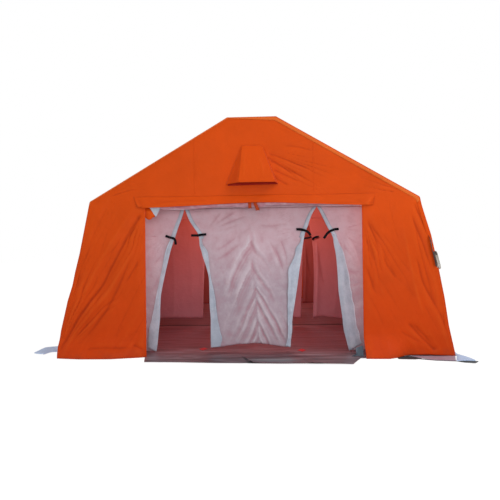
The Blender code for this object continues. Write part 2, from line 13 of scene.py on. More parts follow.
import bmesh
import bpy
import numpy as np
from mathutils import Matrix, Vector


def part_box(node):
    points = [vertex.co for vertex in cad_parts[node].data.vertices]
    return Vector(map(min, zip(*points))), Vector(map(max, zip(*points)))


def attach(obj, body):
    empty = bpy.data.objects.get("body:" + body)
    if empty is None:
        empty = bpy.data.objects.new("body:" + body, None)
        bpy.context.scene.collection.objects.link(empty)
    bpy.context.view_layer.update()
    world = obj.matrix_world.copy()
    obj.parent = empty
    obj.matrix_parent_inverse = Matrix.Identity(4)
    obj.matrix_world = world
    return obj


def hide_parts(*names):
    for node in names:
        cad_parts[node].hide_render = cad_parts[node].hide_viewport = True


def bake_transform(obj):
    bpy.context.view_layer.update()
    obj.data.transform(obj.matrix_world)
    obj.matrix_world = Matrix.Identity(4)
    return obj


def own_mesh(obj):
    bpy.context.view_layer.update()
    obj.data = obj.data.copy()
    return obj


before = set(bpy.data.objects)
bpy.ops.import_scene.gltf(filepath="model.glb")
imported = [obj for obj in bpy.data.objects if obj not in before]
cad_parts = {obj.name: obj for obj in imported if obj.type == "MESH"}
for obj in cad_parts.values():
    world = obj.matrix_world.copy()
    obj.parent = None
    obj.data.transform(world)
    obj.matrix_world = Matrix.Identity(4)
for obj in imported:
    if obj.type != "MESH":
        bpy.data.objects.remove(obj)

logging.basicConfig(level=logging.INFO, format="%(message)s")
LOG = logging.getLogger("tent")

Array = np.ndarray
Point2 = tuple[float, float]
Point3 = tuple[float, float, float]
Tree = bpy.types.NodeTree
Made = bpy.types.Object

CLOTH_THICKNESS = 0.0012
GRID_STEP = 0.0165


class Slot(Enum):
    """Material slot names."""

    SKIN = "orange_cloth"
    CURTAIN = "curtain_cloth"
    ROLLED = "folded_cloth"
    GROUND = "grey_groundsheet"
    SKIRT = "pale_skirt"
    TUBE = "aluminium_tube"
    STEEL = "stainless_steel"
    PLASTIC = "shower_plastic"
    LEVER = "red_lever"
    WEBBING = "dark_webbing"
    ROPE = "guy_rope"


class Hold(Enum):
    """The ways in which a sheet of cloth is held."""

    HUNG = "hung"
    LAID = "laid"
    FOLDED = "folded"
    STRETCHED = "stretched"


# Numbers and curves


def smooth(t: Array) -> Array:
    """A step that rises smoothly from 0 to 1 while t goes from 0 to 1."""
    t = np.clip(t, 0.0, 1.0)
    return t * t * (3.0 - 2.0 * t)


def lattice(i: Array, j: Array, seed: int) -> Array:
    """A repeatable number from -1 to 1 at each whole-number point: the broken-off part of a large sine."""
    value = np.sin(i * 127.1 + j * 311.7 + seed * 74.7) * 43758.5453
    return 2.0 * (value - np.floor(value)) - 1.0


def noise(u: Array, v: Array, seed: int) -> Array:
    """Value noise: the lattice's numbers, joined by smooth steps between its points.

    Args:
        u, v: coordinates in lattice cells.
        seed: picks one of many patterns.

    Returns:
        Numbers from -1 to 1.
    """
    i, j = np.floor(u), np.floor(v)
    s, t = smooth(u - i), smooth(v - j)
    low = lattice(i, j, seed) * (1 - s) + lattice(i + 1, j, seed) * s
    high = lattice(i, j + 1, seed) * (1 - s) + lattice(i + 1, j + 1, seed) * s
    return low * (1 - t) + high * t


def crumple(u: Array, v: Array, seed: int, octaves: int = 3) -> Array:
    """Creased noise from 0 to about 1: one minus the size of the noise, halved at each finer octave."""
    total = np.zeros(np.broadcast(u, v).shape)
    for octave in range(octaves):
        scale = 2.0 ** octave
        total += (1.0 - np.abs(noise(u * scale, v * scale, seed + octave)) ** 0.6) / scale
    return total / 2.0


def turned(u: Array, v: Array, degrees: float) -> tuple[Array, Array]:
    """The coordinates along and across a direction, measured from u towards v."""
    angle = math.radians(degrees)
    return u * math.cos(angle) + v * math.sin(angle), v * math.cos(angle) - u * math.sin(angle)


def smooth_line(points: Sequence[Sequence[float]], per_span: int = 8) -> Array:
    """A Catmull-Rom curve through the points, with per_span samples between each two."""
    p = np.asarray(points, float)
    padded = np.vstack((2 * p[0] - p[1], p, 2 * p[-1] - p[-2]))
    t = np.linspace(0.0, 1.0, per_span, endpoint=False)[:, None]
    spans = []
    for a, b, c, d in zip(padded, padded[1:], padded[2:], padded[3:]):
        cubic = (3 * b - a - 3 * c + d) * t ** 3
        spans.append(0.5 * (2 * b + (c - a) * t + (2 * a - 5 * b + 4 * c - d) * t ** 2 + cubic))
    return np.vstack((*spans, p[-1:]))


def profile(points: Sequence[Point2]) -> Callable[[Array], Array]:
    """A smooth function through (place, value) points, held level past its ends."""
    line = smooth_line(sorted(points))
    return lambda place: np.interp(place, line[:, 0], line[:, 1])


def straight(points: Sequence[Point2], place: Array) -> Array:
    """The value at a place on straight runs through (place, value) points, held level past their ends."""
    return np.interp(place, *np.array(points).T)


def shares(columns: int, rows: int, down: bool = False) -> tuple[Array, Array]:
    """Shares from 0 to 1 over a grid's columns, and over its rows, which go from 1 to 0 where down."""
    return tuple(np.meshgrid(np.linspace(0, 1, columns), np.linspace(down, not down, rows)))


def distance_along(points: Array) -> Array:
    """The distance from a line's start to each of its points."""
    return np.concatenate(([0.0], np.cumsum(np.linalg.norm(np.diff(points, axis=0), axis=1))))


def distance_to(line: Array, x: Array, z: Array) -> tuple[Array, Array]:
    """Distances to a line of straight runs.

    Args:
        line: its points, in order.
        x, z: the places asked about.

    Returns:
        The distance from each place, positive on the line's left, and the share of the
        line's length at which its nearest point lies.
    """
    runs = np.diff(line, axis=0)
    lengths = np.hypot(runs[:, 0], runs[:, 1])
    starts = np.concatenate(([0.0], np.cumsum(lengths)))
    nearest = np.full(x.shape, np.inf)
    side, along = np.ones(x.shape), np.zeros(x.shape)
    for (x0, z0), (dx, dz), length, start in zip(line, runs, lengths, starts):
        t = np.clip(((x - x0) * dx + (z - z0) * dz) / length ** 2, 0.0, 1.0)
        ex, ez = x - x0 - t * dx, z - z0 - t * dz
        distance = np.hypot(ex, ez)
        closer = distance < nearest
        nearest = np.where(closer, distance, nearest)
        side = np.where(closer, np.where(dx * ez - dz * ex < 0, -1.0, 1.0), side)
        along = np.where(closer, start + t * length, along)
    return nearest * side, along / starts[-1]


# A crease's crest is rounded over this distance.
CREST = 0.006


@dataclass(frozen=True)
class Fold:
    """A crease in cloth: a ridge along a smooth line, which falls off on its two sides."""

    line: tuple[Point2, ...]
    height: float = 0.014
    left: float = 0.05
    right: float = 0.05
    start_fade: float = 0.3
    end_fade: float = 0.4

    def lift(self, x: Array, z: Array) -> Array:
        """The ridge's height: an exponential fall from its line, rounded at its crest, faded at its ends."""
        away, along = distance_to(smooth_line(self.line), x, z)
        reach = np.where(away > 0, self.left, self.right)
        fall = np.exp(-(np.sqrt(away ** 2 + CREST ** 2) - CREST) / reach)
        return self.height * fall * smooth(along / self.start_fade) * smooth((1 - along) / self.end_fade)


@dataclass(frozen=True)
class Fan:
    """Creases that spread from a pulled point, between two directions in degrees from +X towards +Z."""

    centre: Point2
    start: float
    end: float
    pitch: float
    reach: float
    height: float
    seed: int

    def lift(self, x: Array, z: Array) -> Array:
        """A sharp ridge every pitch degrees, uneven in height and direction, which fades at the reach."""
        dx, dz = x - self.centre[0], z - self.centre[1]
        away = np.hypot(dx, dz)
        angle = (np.degrees(np.arctan2(dz, dx)) - self.start) % 360.0
        span = (self.end - self.start) % 360.0
        bend = noise(away * 4.0 + angle * 0.02, angle / self.pitch * 0.7, self.seed)
        phase = angle / self.pitch + 0.45 * bend
        ridge = 1.0 - np.abs(np.sin(math.pi * phase)) ** 0.7
        uneven = 0.55 + 0.45 * noise(np.floor(phase + 0.5), away * 2.5, self.seed + 1)
        window = smooth(angle / 6.0) * smooth((span - angle) / 6.0)
        # Ridges closer together than the grid can carry are left out.
        apart = away * math.radians(self.pitch) / GRID_STEP
        fade = smooth((apart - 1.3) / 1.4) * smooth((self.reach - away) / (0.7 * self.reach))
        return self.height * ridge * uneven * window * fade


@dataclass(frozen=True)
class Chevrons:
    """Creases that leave a pulled seam downwards and outwards on both its sides, as steps in the cloth."""

    seam: tuple[Point2, ...]
    apexes: tuple[float, ...]
    slopes: tuple[Point2, ...] = ((0.2, 1.9), (0.9, 1.5), (1.6, 0.95))
    reaches: Point2 = (0.85, 0.55)
    height: float = 0.018
    step: float = 0.3
    seed: int = 140

    def lift(self, x: Array, z: Array) -> Array:
        """Steps along lines that fall from the seam, with smaller steps between them.

        From one line down to the next the cloth drops back over a short way, which is the
        dark line, and then comes slowly forward again, which catches the light.
        """
        along, place = np.array(sorted((height, across) for across, height in self.seam)).T
        away = x - np.interp(z, along, place)
        side = np.sign(away)
        away = np.abs(away)
        slope = straight(self.slopes, z)
        level = z + slope * away ** 0.94 + 0.035 * noise(away * 5.0, z * 3.0 + side, self.seed)
        level = level + 0.012 * noise(away * 16.0, z * 11.0 + side * 5, self.seed + 1)
        heights = sorted(self.apexes)
        phase = np.interp(level, heights, np.arange(len(heights)), left=-0.01, right=len(heights) - 0.99)
        total = np.zeros(level.shape)
        for share, times in ((1.0, 1.0), (0.24, 2.0), (0.07, 5.0)):
            down = 1.0 - (phase * times + 0.3 * (times - 1) * side) % 1.0
            back = 1.0 - smooth(down / self.step)
            forward = smooth((down - self.step) / (1.0 - self.step)) ** 0.8
            varied = 0.65 + 0.35 * noise(np.floor(phase * times) + side * 7, away * 3.0, self.seed + 2)
            total += share * varied * (back + forward)
        top = smooth((heights[-1] + 0.25 - level) / 0.25)
        reach = np.where(side < 0, *self.reaches)
        ends = reach * (0.85 + 0.25 * noise(z * 3.0, side, self.seed + 3))
        fade = (0.5 + 0.5 * smooth(away / 0.05)) * smooth((ends - away) / (0.7 * reach)) * top
        # The key light stands on the right, where lower steps show as well.
        return self.height * np.interp(away * side, (-0.05, 0.05), (1.35, 1.0)) * total * fade


Crease = Fold | Fan | Chevrons


def folds_lift(folds: Sequence[Crease], x: Array, z: Array) -> Array:
    """The height that a group of creases gives together."""
    return sum((fold.lift(x, z) for fold in folds), np.zeros(np.broadcast(x, z).shape))


# Its value paints shade into the cloth's valleys and a highlight onto its crests.
def relief_tone(lift: Array, depth: float = 0.006) -> Array:
    """How far each grid point stands above its surroundings, from 0 in a valley to 1 on a crest.

    The surroundings are the grid averaged with its neighbours twelve times.
    """
    around = lift
    for _ in range(12):
        padded = np.pad(around, 1, mode="edge")
        across = padded[1:-1, :-2] + padded[1:-1, 2:]
        around = (around * 2 + across + padded[:-2, 1:-1] + padded[2:, 1:-1]) / 6
    return 0.5 + 0.5 * np.tanh((lift - around) / depth)


# Materials


def linear(code: str) -> tuple[float, float, float, float]:
    """The linear colour of an sRGB hex code."""
    parts = [int(code[place:place + 2], 16) / 255 for place in (1, 3, 5)]
    curved = [((part + 0.055) / 1.055) ** 2.4 if part > 0.04045 else part / 12.92 for part in parts]
    return (*curved, 1.0)


def add(tree: Tree, kind: str, inputs: Any = (), out: int | str = 0, **settings: Any) -> Any:
    """Adds a node with its settings and links.

    Args:
        tree: the material's or world's nodes.
        kind: the node's type name, without ShaderNode.
        inputs: values or sockets, in the node's own order or by the input's name or number.
        out: the name or number of the output wanted.
        settings: its properties by name.

    Returns:
        That output's socket, if the node has any.
    """
    made = tree.nodes.new("ShaderNode" + kind)
    for name, value in settings.items():
        setattr(made, name, value)
    for name, value in inputs.items() if isinstance(inputs, dict) else enumerate(inputs):
        if isinstance(value, bpy.types.NodeSocket):
            tree.links.new(value, made.inputs[name])
        else:
            made.inputs[name].default_value = value
    return made.outputs[out] if made.outputs else None


# A colour mix's own inputs are its share and two colours, and its output is the third.
SHARE, FIRST, SECOND, MIXED = 0, 6, 7, 2
# Most of a noise texture's values lie between these.
NOISE_LOW, NOISE_HIGH = 0.3, 0.7
# A wave texture's bands repeat every 0.314 m at a scale of 1.
WAVE_PERIOD = math.tau / 20


def over(tree: Tree, colour: Any, code: str, share: Any) -> Any:
    """A colour with another, given by its sRGB code, laid over it by a share."""
    return add(tree, "Mix", {SHARE: share, FIRST: colour, SECOND: linear(code)}, MIXED, data_type="RGBA")


def uneven(tree: Tree, colour: Any, noise_value: Any, low: float, high: float) -> Any:
    """A colour made darker and lighter by a noise."""
    value = add(tree, "MapRange", (noise_value, NOISE_LOW, NOISE_HIGH, low, high))
    return add(tree, "HueSaturation", {"Value": value, "Color": colour})


@dataclass(frozen=True)
class Finish:
    """A finish: the kinds below say what goes into its shader."""

    name: str

    def material(self) -> bpy.types.Material:
        """The finish's material, made once."""
        found = bpy.data.materials.get(self.name)
        if found:
            return found
        made = bpy.data.materials.new(self.name)
        made.use_nodes = True
        tree = made.node_tree
        tree.nodes.clear()
        add(tree, "OutputMaterial", {"Surface": add(tree, "BsdfPrincipled", self.inputs(tree))})
        return made

    def inputs(self, tree: Tree) -> dict[str, Any]:
        """The values and sockets of the shader's inputs."""
        raise NotImplementedError


@dataclass(frozen=True)
class Coated(Finish):
    """Woven polyester with a PVC coat: a soft, even gloss over fine threads, with painted shade in its valleys
    and a painted highlight on its crests.
    """

    low: str
    high: str
    shade_and_stitches: str
    crest: str
    heights: Point2 = (0.0, 2.0)
    roughness: float = 0.5
    crinkle: float = 0.35
    stain: str = "#6E4A38"
    stain_top: float = 0.0
    # How much of the painted shade in the valleys and the painted highlight on the crests shows.
    relief: Point2 = (0.5, 0.3)
    gloss: float = 0.18
    # How much the shade and highlight colours show in soft patches at random.
    mottle: float = 0.0
    # Threads 0.5 mm apart are too fine to show, and are drawn 4 mm apart.
    thread: float = 0.004
    # A row of stitches runs this far from each edge.
    row_in: float = 0.022

    def colour(self, tree: Tree, place: Any, height: Any, grime: Any) -> Any:
        """Colour by height, painted shade in the valleys and a painted highlight on the crests, blotches,
        patches, dirt near the ground and a row of stitches.
        """
        toned = over(tree, linear(self.low), self.high, add(tree, "MapRange", (height, *self.heights)))
        # The fold value paints shade into the valleys and a highlight onto the crests.
        fold = add(tree, "Attribute", out="Fac", attribute_name="fold")
        toned = over(tree, toned, self.shade_and_stitches, add(tree, "MapRange", (fold, 0.47, 0.0, 0.0, self.relief[0])))
        toned = over(tree, toned, self.crest, add(tree, "MapRange", (fold, 0.53, 1.0, 0.0, self.relief[1])))
        blotch = add(tree, "TexNoise", {"Vector": place, "Scale": 1.7, "Detail": 5.0, "Roughness": 0.62})
        toned = uneven(tree, toned, blotch, 0.93, 1.06)
        if self.mottle:
            for code, limit in ((self.shade_and_stitches, 0.32), (self.crest, 0.68)):
                toned = over(tree, toned, code, add(tree, "MapRange", (grime, 0.5, limit, 0.0, self.mottle)))
        if self.stain_top:
            low_down = add(tree, "MapRange", (height, self.stain_top, 0.0, 0.0, 0.3))
            patches = add(tree, "MapRange", (grime, 0.42, 0.7))
            dirty = add(tree, "Math", (low_down, patches), operation="MULTIPLY")
            toned = over(tree, toned, self.stain, dirty)
        # The row of stitches is darkened with the same colour as the painted shade.
        edge = add(tree, "Attribute", out="Fac", attribute_name="edge")
        off_row = add(tree, "Math", (edge, self.row_in), operation="SUBTRACT")
        off_row = add(tree, "Math", (off_row,), operation="ABSOLUTE")
        return over(tree, toned, self.shade_and_stitches, add(tree, "MapRange", (off_row, 0.0025, 0.0012, 0.0, 0.3)))

    def inputs(self, tree: Tree) -> dict[str, Any]:
        """The cloth's colour, with bumps from its threads and crinkles."""
        place = add(tree, "TexCoord", out="Object")
        height = add(tree, "SeparateXYZ", (place,), 2)
        grime = add(tree, "TexNoise", {"Vector": place, "Scale": 7.0, "Detail": 6.0, "Roughness": 0.7})
        flat = add(tree, "TexCoord", out="UV")
        threads = {"Vector": flat, "Scale": WAVE_PERIOD / self.thread, "Distortion": 0.4}
        crossed = [add(tree, "TexWave", threads, 1, bands_direction=axis) for axis in ("X", "Y")]
        weave = add(tree, "Math", crossed, operation="MULTIPLY")
        woven = add(tree, "Bump", {"Strength": 0.25, "Distance": 0.0004, "Height": weave})
        crinkles = add(tree, "TexNoise", {"Vector": place, "Scale": 13.0, "Detail": 8.0, "Roughness": 0.66,
                                          "Distortion": 0.8})
        bump = {"Strength": self.crinkle, "Distance": 0.008, "Height": crinkles, "Normal": woven}
        rough = (grime, NOISE_LOW, NOISE_HIGH, self.roughness - 0.07, self.roughness + 0.09)
        return {"Base Color": self.colour(tree, place, height, grime), "Sheen Weight": 0.04,
                "Roughness": add(tree, "MapRange", rough), "Sheen Roughness": 0.45,
                "Normal": add(tree, "Bump", bump), "Specular IOR Level": self.gloss}


@dataclass(frozen=True)
class Floor(Finish):
    """PVC groundsheet: smooth grey tarpaulin with long drag streaks in its gloss, painted near the door with
    pale streaks of reflected daylight and dark streaks of shade, reddened by the light under the roof.
    """

    inside: str = "#6E363A"
    outside: str = "#63545A"
    streak_reflection: str = "#93858B"
    streak_shade: str = "#3A2226"
    reddened: Point2 = (-3.95, -3.15)
    seams: tuple[float, ...] = (-1.17, 1.33)
    dark_band: str = "#180A0D"
    # Painted shadows and a painted sheen of the apron's creases: X, Y, direction in degrees, half length, half
    # width, colour and its share.
    crease_shadows_and_sheen: tuple[tuple[float, float, float, float, float, str, float], ...] = (
        (0.26, -3.98, -4.0, 0.42, 0.095, "#8C989E", 0.5),
        (-0.115, -3.92, -73.0, 0.20, 0.024, "#101116", 1.0),
        (-0.02, -4.11, -10.0, 0.12, 0.050, "#101116", 1.0),
        (0.80, -4.165, -6.0, 0.16, 0.035, "#1A1518", 1.0))

    def colour(self, tree: Tree, place: Any, streaks: Any) -> Any:
        """Colour by depth, painted reflection and shade in streaks that fade inside, a dark band across the
        floor near each partition, and the painted shadows and sheen of creases.
        """
        depth = add(tree, "SeparateXYZ", (place,), 1)
        toned = over(tree, linear(self.outside), self.inside, add(tree, "MapRange", (depth, *self.reddened)))
        # Pale streaks are painted reflection of the daylight at the door, dark ones painted shade.
        for code, lines, nearness in ((self.streak_reflection, (0.52, 0.68), (-2.8, -3.7, 0.03, 0.55)),
                                      (self.streak_shade, (0.5, 0.34), (-2.6, -3.6, 0.10, 0.6))):
            both = [add(tree, "MapRange", (streaks, *lines)), add(tree, "MapRange", (depth, *nearness))]
            toned = over(tree, toned, code, add(tree, "Math", both, operation="MULTIPLY"))
        # A dark band across the floor near each partition.
        for seam in self.seams:
            away = add(tree, "Math", (depth, seam), operation="SUBTRACT")
            away = add(tree, "Math", (away,), operation="ABSOLUTE")
            toned = over(tree, toned, self.dark_band, add(tree, "MapRange", (away, 0.07, 0.055, 0.0, 0.9)))
        # Painted shadows of the apron's creases, and a painted sheen beside them.
        for x, y, degrees, length, width, code, share in self.crease_shadows_and_sheen:
            local = add(tree, "Mapping", {
                "Vector": place, "Location": (x, y, 0.0), "Rotation": (0.0, 0.0, math.radians(degrees)),
                "Scale": (length, width, 1.0)}, vector_type="TEXTURE")
            level = add(tree, "VectorMath", (local, (1.0, 1.0, 0.0)), operation="MULTIPLY")
            away = add(tree, "VectorMath", (level,), "Value", operation="LENGTH")
            toned = over(tree, toned, code, add(tree, "MapRange", (away, 1.05, 0.5, 0.0, share)))
        return toned

    def inputs(self, tree: Tree) -> dict[str, Any]:
        """The groundsheet's colour and gloss, with bumps along its streaks."""
        place = add(tree, "TexCoord", out="Object")
        long_way = add(tree, "Mapping", {"Vector": place, "Scale": (0.5, 4.0, 1.0), "Rotation": (0, 0, 0.05)})
        streaks = add(tree, "TexNoise", {"Vector": long_way, "Scale": 2.0, "Detail": 6.0, "Roughness": 0.58,
                                         "Distortion": 1.2})
        bumps = add(tree, "Bump", {"Strength": 0.25, "Distance": 0.005, "Height": streaks})
        rough = add(tree, "MapRange", (streaks, 0.35, 0.65, 0.5, 0.34))
        return {"Base Color": self.colour(tree, place, streaks), "Roughness": rough, "Normal": bumps,
                "Specular IOR Level": 0.45}


@dataclass(frozen=True)
class Metal(Finish):
    """Bare metal tube or sheet: even body colour, drawn or brushed lines, handling smears in its gloss."""

    code: str
    roughness: float
    # Draw lines run around a tube 1 mm apart; they are drawn 3 mm apart to show.
    line: float = 0.003

    def inputs(self, tree: Tree) -> dict[str, Any]:
        """The metal's colour and gloss with smears, over noise stretched into lines."""
        place = add(tree, "TexCoord", out="Object")
        lines = add(tree, "Mapping", {"Vector": place, "Scale": (1.0, 1.0, 0.06)})
        drawn = add(tree, "TexNoise", {"Vector": lines, "Scale": 1 / self.line, "Detail": 2.0})
        smears = add(tree, "TexNoise", {"Vector": place, "Scale": 9.0, "Detail": 5.0, "Roughness": 0.6})
        rough = (smears, NOISE_LOW, NOISE_HIGH, self.roughness - 0.06, self.roughness + 0.12)
        return {"Base Color": uneven(tree, linear(self.code), smears, 0.86, 1.05), "Metallic": 1.0,
                "Roughness": add(tree, "MapRange", rough),
                "Normal": add(tree, "Bump", {"Strength": 0.15, "Distance": 0.0003, "Height": drawn})}


@dataclass(frozen=True)
class Moulded(Finish):
    """Injection-moulded plastic: a fine spark-eroded grain and slight sinks in an even colour."""

    code: str
    roughness: float = 0.38
    # Mould grain is about 0.3 mm across; it is drawn 2 mm across to show.
    grain: float = 0.002

    def inputs(self, tree: Tree) -> dict[str, Any]:
        """The plastic's colour and gloss with a slow change, over its grain."""
        place = add(tree, "TexCoord", out="Object")
        grain = add(tree, "TexNoise", {"Vector": place, "Scale": 1 / self.grain, "Detail": 1.0})
        slow = add(tree, "TexNoise", {"Vector": place, "Scale": 12.0, "Detail": 3.0})
        rough = (slow, NOISE_LOW, NOISE_HIGH, self.roughness - 0.05, self.roughness + 0.1)
        return {"Base Color": uneven(tree, linear(self.code), slow, 0.92, 1.05),
                "Roughness": add(tree, "MapRange", rough),
                "Normal": add(tree, "Bump", {"Strength": 0.2, "Distance": 0.0002, "Height": grain})}


@dataclass(frozen=True)
class Yarn(Finish):
    """Yarn, as in webbing and rope: matt threads slanted across its length, with darker gaps."""

    code: str
    gap: str
    pitch: float = 0.004
    roughness: float = 0.85
    fuzz: float = 0.2

    def inputs(self, tree: Tree) -> dict[str, Any]:
        """The yarn's colour and bump: slanted bands on the piece's own UV map, broken by noise."""
        flat, place = add(tree, "TexCoord", out="UV"), add(tree, "TexCoord", out="Object")
        bands = add(tree, "TexWave", {"Vector": flat, "Scale": WAVE_PERIOD / self.pitch, "Distortion": 1.5,
                                      "Detail": 2.0, "Detail Scale": 1.5}, 1, bands_direction="DIAGONAL")
        fluff = add(tree, "TexNoise", {"Vector": place, "Scale": 60.0, "Detail": 4.0})
        gaps = add(tree, "Math", (add(tree, "MapRange", (bands, 0.5, 0.0)), 0.8), operation="MULTIPLY")
        toned = uneven(tree, over(tree, linear(self.code), self.gap, gaps), fluff, 0.8, 1.12)
        return {"Base Color": toned, "Roughness": self.roughness, "Sheen Weight": self.fuzz,
                "Normal": add(tree, "Bump", {"Strength": 0.5, "Distance": 0.001, "Height": bands}),
                "Sheen Roughness": 0.6, "Specular IOR Level": 0.5 * self.fuzz + 0.1}


SKIN = Coated("orange_pvc_polyester", "#CC4006", "#DC4E08", "#9E2C04", "#EA6A22", stain_top=0.14, crinkle=0.5,
              relief=(0.75, 0.4), gloss=0.1)
# The roof's paler, yellower orange is painted sunlight on the roof.
ROOF_SKIN = Coated("sunlit_roof_pvc_polyester", "#D85212", "#E46820", "#B84410", "#F08A40", relief=(0.6, 0.4))
# The white lining's pink and mauve are painted orange light through the cloth round it, and its darker valleys
# are painted shade under the roll.
ROLL_LINING = Coated("door_lining", "#BE8896", "#CE98A4", "#AC5068", "#EEE6EE", crinkle=0.9,
                     relief=(0.8, 0.8), mottle=0.35)
# The white cloth's pink is painted orange light that comes through the skin, and its lighter top is painted
# light against the shadow under the flap.
FRONT_CURTAIN = Coated("front_partition_cloth", "#B29EAA", "#DCB6C0", "#AC6472", "#DED2DA", (0.9, 2.0),
                       crinkle=0.85, relief=(0.75, 0.85), gloss=0.35, mottle=0.24)
# The same white cloth deeper inside: its red is painted orange light from the roof, redder towards the top.
MIDDLE_CURTAIN = Coated("middle_partition_cloth", "#B0707A", "#C4584A", "#8E4040", "#C88084", crinkle=0.6,
                        relief=(0.6, 0.4))
# The same white cloth at the far end: its dark red is painted orange light and shade.
REAR_CURTAIN = Coated("rear_partition_cloth", "#9E4A46", "#AE463A", "#6C2624", "#B46462", relief=(0.7, 0.5))
# The curtains' cloth turned back: its blue-white is painted skylight on a doubled layer that lets less orange
# light through.
LEAF_CLOTH = Coated("turned_back_cloth", "#B2BACA", "#BCC2D0", "#868EA0", "#DCE2EC", crinkle=0.7,
                    relief=(0.85, 0.6), mottle=0.3)
# The white skirt's pale blue is painted skylight.
SKIRT_CLOTH = Coated("ground_skirt_cloth", "#C4DCFF", "#C4DCFF", "#A0BCF8", "#E0ECFF", crinkle=0.6)
# The same skirt before the front wall: its pink is painted shade with orange light from the wall.
SHADED_PINK_SKIRT = Coated("shaded_skirt_cloth", "#B49EAE", "#B49EAE", "#96708A", "#C6B8C6", crinkle=0.6, mottle=0.4)
# The net's dark red is partly its own colour and partly painted shade in the hood's mouth.
NET = Coated("vent_net", "#9C1E12", "#A82416", "#7A140C", "#B83020", roughness=0.8)
MARK_CLOTH = Coated("red_patch", "#AE181E", "#AE181E", "#8E1014", "#C02A2C", roughness=0.45)
# Groundsheet edges painted dark as the shadow under the lifted skirt and the wall's hem.
SHADOWED_GROUND_EDGE = Coated("shadowed_groundsheet_edge", "#33383C", "#33383C", "#1C2024", "#50565C", roughness=0.45)
CORNER = Coated("turned_up_groundsheet", "#5A6672", "#6A7886", "#343A42", "#8A98A4", roughness=0.45)
GROUND = Floor("pvc_groundsheet")
TIE_WEBBING = Yarn("black_tie_tape", "#0E0F16", "#050608", 0.003, fuzz=0.03)
ORANGE_TAPE = Yarn("orange_tape", "#C0440E", "#94300C")
STRAP_WEBBING = Yarn("brown_webbing", "#4A302A", "#1C1412")
LASHING = Yarn("brown_lashing_cord", "#4E332B", "#1E1310")
ROPE_YARN = Yarn("guy_rope_yarn", "#C8C0B2", "#8C8272", 0.006)
ALUMINIUM = Metal("drawn_aluminium", "#C9CBCE", 0.38)
STAINLESS = Metal("brushed_stainless_steel", "#BFC1C4", 0.3)
STEEL_RING = Metal("zinc_plated_wire", "#8E9094", 0.35)
GREY_PLASTIC = Moulded("grey_pvc_fitting", "#4E5358")
RED_PLASTIC = Moulded("red_nylon_lever", "#B3201C", 0.32)


# Meshes


def grid_quads(rows: int, columns: int, keep: Array | None = None) -> Array:
    """The quads of a grid of points stored row by row; keep masks its cells."""
    index = np.arange(rows * columns).reshape(rows, columns)
    corners = (index[:-1, :-1], index[:-1, 1:], index[1:, 1:], index[1:, :-1])
    quads = np.stack(corners, axis=-1)
    return quads[keep] if keep is not None else quads.reshape(-1, 4)


def mesh_object(name: str, points: Array, quads: Array, material: bpy.types.Material, uv: Array | None = None,
                values: dict[str, Array] | None = None) -> Made:
    """Makes a mesh object of quads at the origin.

    Args:
        name: the piece's name.
        points: its vertices, (n, 3).
        quads: vertex numbers, (m, 4).
        material: its finish.
        uv: flat coordinates in metres at each vertex, (n, 2).
        values: other numbers at each vertex, by attribute name.

    Returns:
        The object, smooth shaded.
    """
    used, numbers = np.unique(quads, return_inverse=True)
    quads = numbers.reshape(-1, 4)
    mesh = bpy.data.meshes.new(name)
    mesh.vertices.add(len(used))
    mesh.vertices.foreach_set("co", points[used].astype(np.float32).ravel())
    mesh.loops.add(quads.size)
    mesh.loops.foreach_set("vertex_index", quads.astype(np.int32).ravel())
    mesh.polygons.add(len(quads))
    mesh.polygons.foreach_set("loop_start", np.arange(0, quads.size, 4, dtype=np.int32))
    mesh.update(calc_edges=True)
    mesh.polygons.foreach_set("use_smooth", np.ones(len(quads), bool))
    if uv is not None:
        layer = mesh.uv_layers.new(name="flat")
        layer.data.foreach_set("uv", uv[used][quads.ravel()].astype(np.float32).ravel())
    for key, numbers_at in (values or {}).items():
        layer = mesh.attributes.new(key, "FLOAT", "POINT")
        layer.data.foreach_set("value", numbers_at[used].astype(np.float32))
    mesh.materials.append(material)
    mesh.validate()
    made = bpy.data.objects.new(name, mesh)
    bpy.context.scene.collection.objects.link(made)
    return made


@dataclass
class Cloth:
    """A sheet of cloth on a grid: its points, how far each of them stands proud, and its finish."""

    name: str
    x: Array
    y: Array
    z: Array
    lift: Array | float
    finish: Finish
    slot: Slot
    # The grid's axis that runs backwards, so that the sheet faces outwards.
    back: int | None = None
    # Flat coordinates in metres, where they aren't X and Z.
    flat: tuple[Array, Array] | None = None
    edge: Array | None = None
    keep: Array | None = None
    thickness: float = CLOTH_THICKNESS
    other_side: Finish | None = None

    def make(self) -> Made:
        """The sheet's object, with its thickness behind its face."""
        flat = self.flat or (self.x, self.z)
        layers = [self.x, self.y, self.z, *flat, self.lift]
        if self.edge is not None:
            layers.append(self.edge)
        layers, keep = np.broadcast_arrays(*layers), self.keep
        if self.back is not None:
            layers = [np.flip(layer, self.back) for layer in layers]
            keep = None if keep is None else np.flip(keep, self.back)
        x, y, z, across, along, lift, *edge = layers
        # The fold value sets where the finish paints shade and a highlight.
        values = {"fold": relief_tone(lift).ravel(), **{"edge": layer.ravel() for layer in edge}}
        quads = grid_quads(*x.shape, keep)
        made = mesh_object(self.name, np.stack((x, y, z), -1).reshape(-1, 3), quads, self.finish.material(),
                           np.stack((across, along), -1).reshape(-1, 2), values)
        solid = made.modifiers.new("thickness", "SOLIDIFY")
        solid.thickness = self.thickness
        solid.offset = -1.0
        if self.other_side:
            made.data.materials.append(self.other_side.material())
            solid.material_offset = 1
        LOG.info("%s: sheet of %d quads", self.name, len(quads))
        return made


